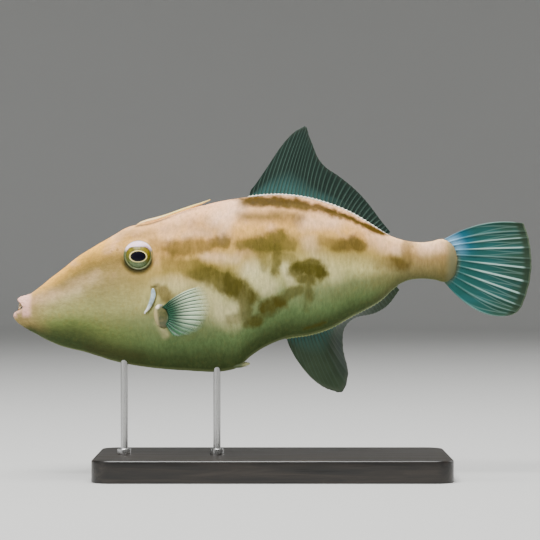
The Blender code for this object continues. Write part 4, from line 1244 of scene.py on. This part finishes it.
class FISH_OT_tail_fin(bpy.types.Operator):
    """Model the tail fin and its forking rays"""

    bl_idname = "fish.tail_fin"
    bl_label = "Tail fin"

    def execute(self, context):
        fish = context.scene.fish_settings
        tip = tip_path(CAUDAL_TIPS)

        def point(u, s):
            angle = CAUDAL_ROOT_SPREAD * (1 - 2 * u)
            power = CAUDAL_ROOT_FORM
            wide = abs(cos(angle) / CAUDAL_ROOT_HALF[0]) ** power
            tall = abs(sin(angle) / CAUDAL_ROOT_HALF[1]) ** power
            reach = (wide + tall) ** (-1 / power)
            root = Vector((CAUDAL_ROOT[0] + reach * cos(angle), 0, CAUDAL_ROOT[1] + reach * sin(angle)))
            half = 1 - 2 * u
            bow = (CAUDAL_BOW[0] if half > 0 else -CAUDAL_BOW[1]) * half * abs(half) ** 3
            s = scalloped(u, s, CAUDAL_RAYS, 0.004, 0.7)
            sway = 0.5 * sin(u * 9 + 1) * s
            return root.lerp(tip(u * (CAUDAL_RAYS - 1)), s) + Vector((0, sway, bow * 4 * s * (1 - s)))

        fin_piece(
            "tail_fin", self.membrane(fish), "fin_membrane", ("caudal_fin",), CAUDAL_RAYS, CAUDAL_GRID,
            point, self.ridge, CAUDAL_THICKNESS, fish.membrane / MM)
        return {"FINISHED"}

    def ridge(self, u, s):
        """Height and brightness of the tail's rays, each a stem that widens as it branches."""
        bright = CAUDAL_BRIGHT[round(u * (CAUDAL_RAYS - 1))]
        return ray_profile(off_ray(u, CAUDAL_RAYS), 0.17 + 0.18 * smooth(0.3, 1, s)), bright

    def membrane(self, fish):
        """Blue at the upper root, teal below and darker green outwards, with a thin pale rim."""
        fin = Surface("scraper_tail_fin", Roughness=0.5, Specular_IOR_Level=0.08)
        out = fin.attribute("out")
        gap = fin.attribute("place").aside()
        high = fin.axis("Z").ramp(0.116, 0.128)
        within = out.ramp(0.935, 0.87)
        shine = fin.attribute("bright") * out.ramp(0.08, 0.45) * within
        stem = (gap / (0.16 - out * 0.06)).ramp(1, 0.35)
        twig = ((gap - out.ramp(0.2, 0.9, 0.1, 0.47)).size() / 0.08).ramp(1, 0.1) * out.ramp(0.25, 0.6)
        tone = fin.layers(
            fin.mix(high, (0.012, 0.092, 0.078), fish.tail_blue),
            (out.ramp(0.04, 0.4), (0.018, 0.092, 0.082)),
            (out.ramp(0.4, 0.9), (0.024, 0.06, 0.038)),
            (fin.noise(150, stretch=(0.3, 1, 1)).ramp(0.45, 0.75) * 0.5, (0.022, 0.125, 0.135)),
            (out.ramp(0.24, 0.04) * (high * 0.9 + 0.04), (0.25, 0.52, 0.76)),
            (out.ramp(0.1, 0.02) * (1 - high) * 0.75, (0.15, 0.18, 0.1)),
            (out.ramp(0.86, 0.94), (0.028, 0.05, 0.03)),
            (twig * within * 0.16, fish.tail_ray),
            (stem * (shine + 0.06).least(1), fish.tail_ray),
            (out.ramp(0.975, 0.99) * 0.45, (0.2, 0.25, 0.16)))
        alpha = (stem * 0.1 + out.ramp(0.4, 0.95, 0.98, 0.93)).least(1)
        fin.set(Base_Color=tone, Alpha=alpha, Normal=fin.pitted(*FIN_GRAIN))
        return fin.material


class FISH_OT_pectoral_fins(bpy.types.Operator):
    """Model the pectoral pads and the fans of fine rays that they carry"""

    bl_idname = "fish.pectoral_fins"
    bl_label = "Pectoral fins"

    def execute(self, context):
        self.pads()
        tip = tip_path(PECTORAL_TIPS)
        turn = pad_turn()

        def point(u, s):
            angle = between(PECTORAL_ROOT_ANGLE, u)
            root = turn @ Vector((
                PAD_HALF[0] * cos(angle) * cos(PECTORAL_ROOT_OUT) * 0.9,
                -PAD_HALF[1] * sin(PECTORAL_ROOT_OUT),
                PAD_HALF[2] * sin(angle) * cos(PECTORAL_ROOT_OUT) * 0.9))
            bow = between(PECTORAL_BOW, u)
            s = scalloped(u, s, PECTORAL_RAYS, 0.06, 0.5)
            ripple = 0.35 * sin(u * (PECTORAL_RAYS - 1) * tau) * s
            return root.lerp(tip(u), s) + Vector((0, ripple, bow * 4 * s * (1 - s)))

        material = self.membrane()
        for word, side in (("left", -1), ("right", 1)):
            fin_piece(
                "pectoral_fan_" + word, material, "pectoral_membrane", ("pectoral_fin_" + word,),
                PECTORAL_RAYS, PECTORAL_GRID, point, self.ridge, PECTORAL_THICKNESS,
                PECTORAL_MEMBRANE, side)
        return {"FINISHED"}

    def ridge(self, u, s):
        """Broad rays with narrow furrows between them, paler in the upper part of the fan."""
        return ray_profile(off_ray(u, PECTORAL_RAYS), 0.46 - 0.05 * s), 1 - smooth(0.55, 0.92, u)

    def membrane(self):
        """Milky green rays parted by dark furrows, deep teal at the root."""
        fin = Surface("scraper_pectoral_fin", Roughness=0.45, Specular_IOR_Level=0.3)
        out = fin.attribute("out")
        milk = fin.mix(fin.attribute("bright"), (0.065, 0.18, 0.088), (0.8, 0.95, 0.68))
        milk = fin.mix(out.ramp(0.1, 0.6), (0.018, 0.098, 0.048), milk)
        furrow = fin.mix(out.ramp(0.1, 0.8), (0.004, 0.034, 0.018), (0.06, 0.12, 0.07))
        share = fin.attribute("place").aside().ramp(0.43, 0.24)
        solid = out.ramp(0.5, 1, 0.82, 0) * share + out.ramp(0.55, 1, 0.85, 0.1) * (1 - share)
        fin.set(Base_Color=fin.mix(share, furrow, milk), Alpha=solid, Normal=fin.pitted(*FIN_GRAIN))
        return fin.material

    def pads(self):
        """The fleshy pads."""
        left = bmesh.new()
        bmesh.ops.create_uvsphere(left, u_segments=64, v_segments=40, radius=1)
        bmesh.ops.transform(left, matrix=Matrix.Rotation(pi / 2, 4, "X"), verts=left.verts)
        marks = collect(left, lambda co: {
            "flesh": smooth(0.35, 0.7, -co.x * 0.95 + co.z * 0.15),
            "knob": smooth(0.35, 0.15, hypot(co.x + 0.36, co.z - 0.88)),
            "teal": 0.6 * smooth(0.4, 0.9, co.x * 0.8 - co.z * 0.5),
        })
        for vert in left.verts:
            dent = 0.12 * bell(hypot(vert.co.x - 0.5, vert.co.z * 0.6), 0.5)
            vert.co *= 1 - dent
        stretch = Matrix.Diagonal((*PAD_HALF, 1))
        bmesh.ops.transform(left, matrix=pad_turn() @ stretch, verts=left.verts)
        finish_pair("pectoral_pad_", left, pad_material(), "fin_pad", "pectoral_base_", marks)


class FISH_OT_spines(bpy.types.Operator):
    """Model the folded first dorsal spine with its barbs, and the pelvic spur"""

    bl_idname = "fish.spines"
    bl_label = "Spines"

    def execute(self, context):
        material = bone_material()
        radius = curve(SPINE_RADIUS)
        lift = curve(SPINE_LIFT)

        def centre(s):
            x = between(SPINE_ENDS, s)
            return Vector((x, 0, back(x) + 0.2 + radius(s) + lift(s)))

        def point(s, angle):
            flutes = 1 + 0.06 * cos(angle * 6)
            return centre(s) + Vector((0, sin(angle), cos(angle))) * radius(s) * flutes

        rings = [k / 70 for k in range(71)]
        bm = loft(rings, 32, centre(0) - Vector((0.9, 0, 0.1)), centre(1) + Vector((0.5, 0, 0.1)), point)
        draw = Random(11)
        for k in range(BARBS):
            s = 0.12 + 0.84 * k / (BARBS - 1) + draw.uniform(-0.004, 0.004)
            for side in (-1, 1):
                angle = side * radians(72 + draw.uniform(-8, 8))
                foot = centre(s) + Vector((0, sin(angle), cos(angle))) * radius(s) * 0.8
                point_to = Vector((0.5, sin(angle), cos(angle) * 0.4)).normalized()
                size = radius(s) * draw.uniform(0.45, 0.62)
                add_barb(bm, foot + point_to * size * 0.5, point_to, size * 0.38, size * 1.6)
        finish_piece("first_dorsal_spine", bm, material, "spines", ("dorsal_spine",))
        self.spur(material)
        return {"FINISHED"}

    def spur(self, material):
        """The pelvic spur, a small nub with short spinules."""
        middle = curve(SPUR_PATH)
        radius = curve(SPUR_RADIUS)
        start, end = SPUR_PATH[0][0], SPUR_PATH[-1][0]

        def point(x, angle):
            return x, radius(x) * sin(angle), middle(x) + radius(x) * cos(angle)

        rings = [start + (end - start) * k / 24 for k in range(25)]
        bm = loft(rings, 24, (start - 0.4, 0, middle(start)), (end + 0.35, 0, middle(end)), point)
        draw = Random(12)
        for _ in range(SPINULES):
            x = start + 3.5 + (end - start - 3.6) * draw.random()
            angle = draw.uniform(0, tau)
            point_to = Vector((1.1, sin(angle), cos(angle))).normalized()
            add_barb(bm, point(x, angle), point_to, 0.26, draw.uniform(0.9, 1.6))
        finish_piece("pelvic_nub", bm, material, "spines", ("pelvic_spur",))


class FISH_OT_stand(bpy.types.Operator):
    """Model the lacquered wooden base and the two steel rods"""

    bl_idname = "fish.stand"
    bl_label = "Stand"

    def execute(self, context):
        stand = context.scene.stand_settings
        wood = Surface("stand_wood", Coat_Weight=0.2, Coat_Roughness=0.15, Specular_IOR_Level=0.35)
        grain = wood.noise(38, 5, 0.6, stretch=(0.5, 6, 6), distortion=0.8)
        pores = wood.noise(300, 2, stretch=(0.08, 2, 2)).ramp(0.55, 0.75)
        colour = wood.mix(grain.ramp(0.3, 0.75), stand.wood, (0.04, 0.032, 0.026))
        wood.set(
            Base_Color=wood.mix(pores * 0.6, colour, (0.006, 0.005, 0.005)),
            Normal=wood.bump(pores, 0.0002, 0.4), Roughness=grain.ramp(0.2, 0.8, 0.3, 0.42))
        low, high = (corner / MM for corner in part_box("stand_base"))
        middle, size = (low + high) / 2, high - low
        bm = bmesh.new()
        bmesh.ops.create_cube(bm, size=1, matrix=Matrix.Translation(middle) @ Matrix.Diagonal((*size, 1)))
        upright = [e for e in bm.edges if abs(e.verts[0].co.z - e.verts[1].co.z) > 1]
        round_edges(bm, upright, BASE_CORNER, 24)
        rims = [e for e in bm.edges if abs(e.verts[0].co.z - e.verts[1].co.z) < 0.01]
        top = [e for e in rims if e.verts[0].co.z > middle.z]
        bottom = [e for e in rims if e.verts[0].co.z < middle.z]
        round_edges(bm, top, stand.edge / MM, 6)
        round_edges(bm, bottom, 0.4, 2)
        base = finish_piece("display_base", bm, wood.material, "base", ("stand_base",))
        base.data.set_sharp_from_angle(angle=radians(35))
        self.rods(high.z)
        return {"FINISHED"}

    def rods(self, floor):
        """Brushed steel rods, each in a small collar on the base."""
        steel = Surface("stand_steel", Metallic=1, Roughness=0.28)
        lines = steel.noise(1500, 3, stretch=(1, 1, 0.02))
        steel.set(
            Base_Color=steel.mix(lines, (0.5, 0.5, 0.5), (0.66, 0.66, 0.65)),
            Roughness=lines.ramp(0.3, 0.7, 0.22, 0.36), Normal=steel.bump(lines, 0.00003, 0.4))
        for word in ("front", "rear"):
            node = "stand_rod_" + word
            low, high = (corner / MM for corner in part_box(node))
            middle = (low + high) / 2
            radius = (high.x - low.x) / 2
            profile = [(0, low.z), (radius, low.z)]
            profile += [(radius + out, floor + up) for out, up in COLLAR]
            profile += [(radius, high.z - ROD_ROUNDING), (radius - ROD_ROUNDING, high.z), (0, high.z)]
            bm = turned(profile, middle, 48)
            rod = finish_piece("display_rod_" + word, bm, steel.material, "rods", (node,))
            rod.data.set_sharp_from_angle(angle=radians(35))


class FISH_OT_stage(bpy.types.Operator):
    """Set the pale floor, the soft lights and the camera at the photograph's view"""

    bl_idname = "fish.stage"
    bl_label = "Stage"

    def execute(self, context):
        self.sweep(context.scene.stand_settings)
        self.lights(context)
        self.camera(context)
        return {"FINISHED"}

    def sweep(self, stand):
        """A round floor that rises into a wall on every side."""
        cloth = Surface("stage_floor", Roughness=0.85, Specular_IOR_Level=0.2)
        cloth.set(Base_Color=cloth.mix(cloth.noise(2.5), stand.floor, [c * 1.03 for c in stand.floor]))
        rounding, reach, top = 900, 3600, 3400
        profile = [(0, 0)] + [(k * 300, 0) for k in range(1, 9)]
        for k in range(1, 17):
            angle = k / 16 * pi / 2
            profile.append((reach - rounding + rounding * sin(angle), rounding * (1 - cos(angle))))
        profile.append((reach, top))
        bm = turned(profile, (0, 0, 0), 96)
        bmesh.ops.recalc_face_normals(bm, faces=bm.faces)
        finish_piece("stage_sweep", bm, cloth.material, None, closed=False)

    def lights(self, context):
        """A broad light above, softer ones on each side and a pale world."""
        for name, place, aim, size, power in LIGHTS:
            light = bpy.data.lights.new(name, "AREA")
            light.shape = "DISK"
            light.size = size
            light.energy = power
            obj = bpy.data.objects.new(name, light)
            obj.location = place
            obj.rotation_euler = (Vector(aim) - Vector(place)).to_track_quat("-Z", "Y").to_euler()
            context.scene.collection.objects.link(obj)
        world = bpy.data.worlds.new("stage_world")
        world.use_nodes = True
        world.node_tree.nodes["Background"].inputs["Color"].default_value = (0.85, 0.9, 0.95, 1)
        world.node_tree.nodes["Background"].inputs["Strength"].default_value = 0.15
        context.scene.world = world

    def camera(self, context):
        """A level camera square to the left side."""
        camera = bpy.data.cameras.new("photo_view")
        camera.sensor_width = SENSOR
        camera.lens = SENSOR * VIEW_DISTANCE / VIEW_WIDTH
        camera.clip_end = 20
        obj = bpy.data.objects.new("photo_view", camera)
        obj.location = (VIEW_CENTRE[0] * MM, -VIEW_DISTANCE * MM, VIEW_CENTRE[1] * MM)
        obj.rotation_euler = (pi / 2, 0, 0)
        context.scene.collection.objects.link(obj)
        context.scene.camera = obj


class FISH_PT_panel(bpy.types.Panel):
    """Panel with the fish's settings and pieces"""

    bl_idname = "FISH_PT_panel"
    bl_label = "Black scraper"
    bl_space_type = "VIEW_3D"
    bl_region_type = "UI"
    bl_category = "Black scraper"

    def draw(self, context):
        for settings in (context.scene.fish_settings, context.scene.stand_settings):
            for key in settings.__annotations__:
                self.layout.prop(settings, key)
        for operator in OPERATORS:
            self.layout.operator(operator.bl_idname)


OPERATORS = (
    FISH_OT_skin, FISH_OT_eyes, FISH_OT_mouth, FISH_OT_gills, FISH_OT_pectoral_fins, FISH_OT_spines,
    FISH_OT_median_fins, FISH_OT_tail_fin, FISH_OT_stand, FISH_OT_stage)
CLASSES = (FishSettings, StandSettings) + OPERATORS + (FISH_PT_panel,)


def register():
    """Register the classes and the settings."""
    for cls in CLASSES:
        bpy.utils.register_class(cls)
    bpy.types.Scene.fish_settings = bpy.props.PointerProperty(type=FishSettings)
    bpy.types.Scene.stand_settings = bpy.props.PointerProperty(type=StandSettings)


def unregister():
    """Remove the classes and the settings."""
    del bpy.types.Scene.fish_settings
    del bpy.types.Scene.stand_settings
    for cls in reversed(CLASSES):
        bpy.utils.unregister_class(cls)


def main():
    """Build every piece in order."""
    clear_default_objects()
    register()
    bpy.ops.fish.skin()
    bpy.ops.fish.eyes()
    bpy.ops.fish.mouth()
    bpy.ops.fish.gills()
    bpy.ops.fish.pectoral_fins()
    bpy.ops.fish.spines()
    bpy.ops.fish.median_fins()
    bpy.ops.fish.tail_fin()
    bpy.ops.fish.stand()
    bpy.ops.fish.stage()


if __name__ == "__main__":
    main()
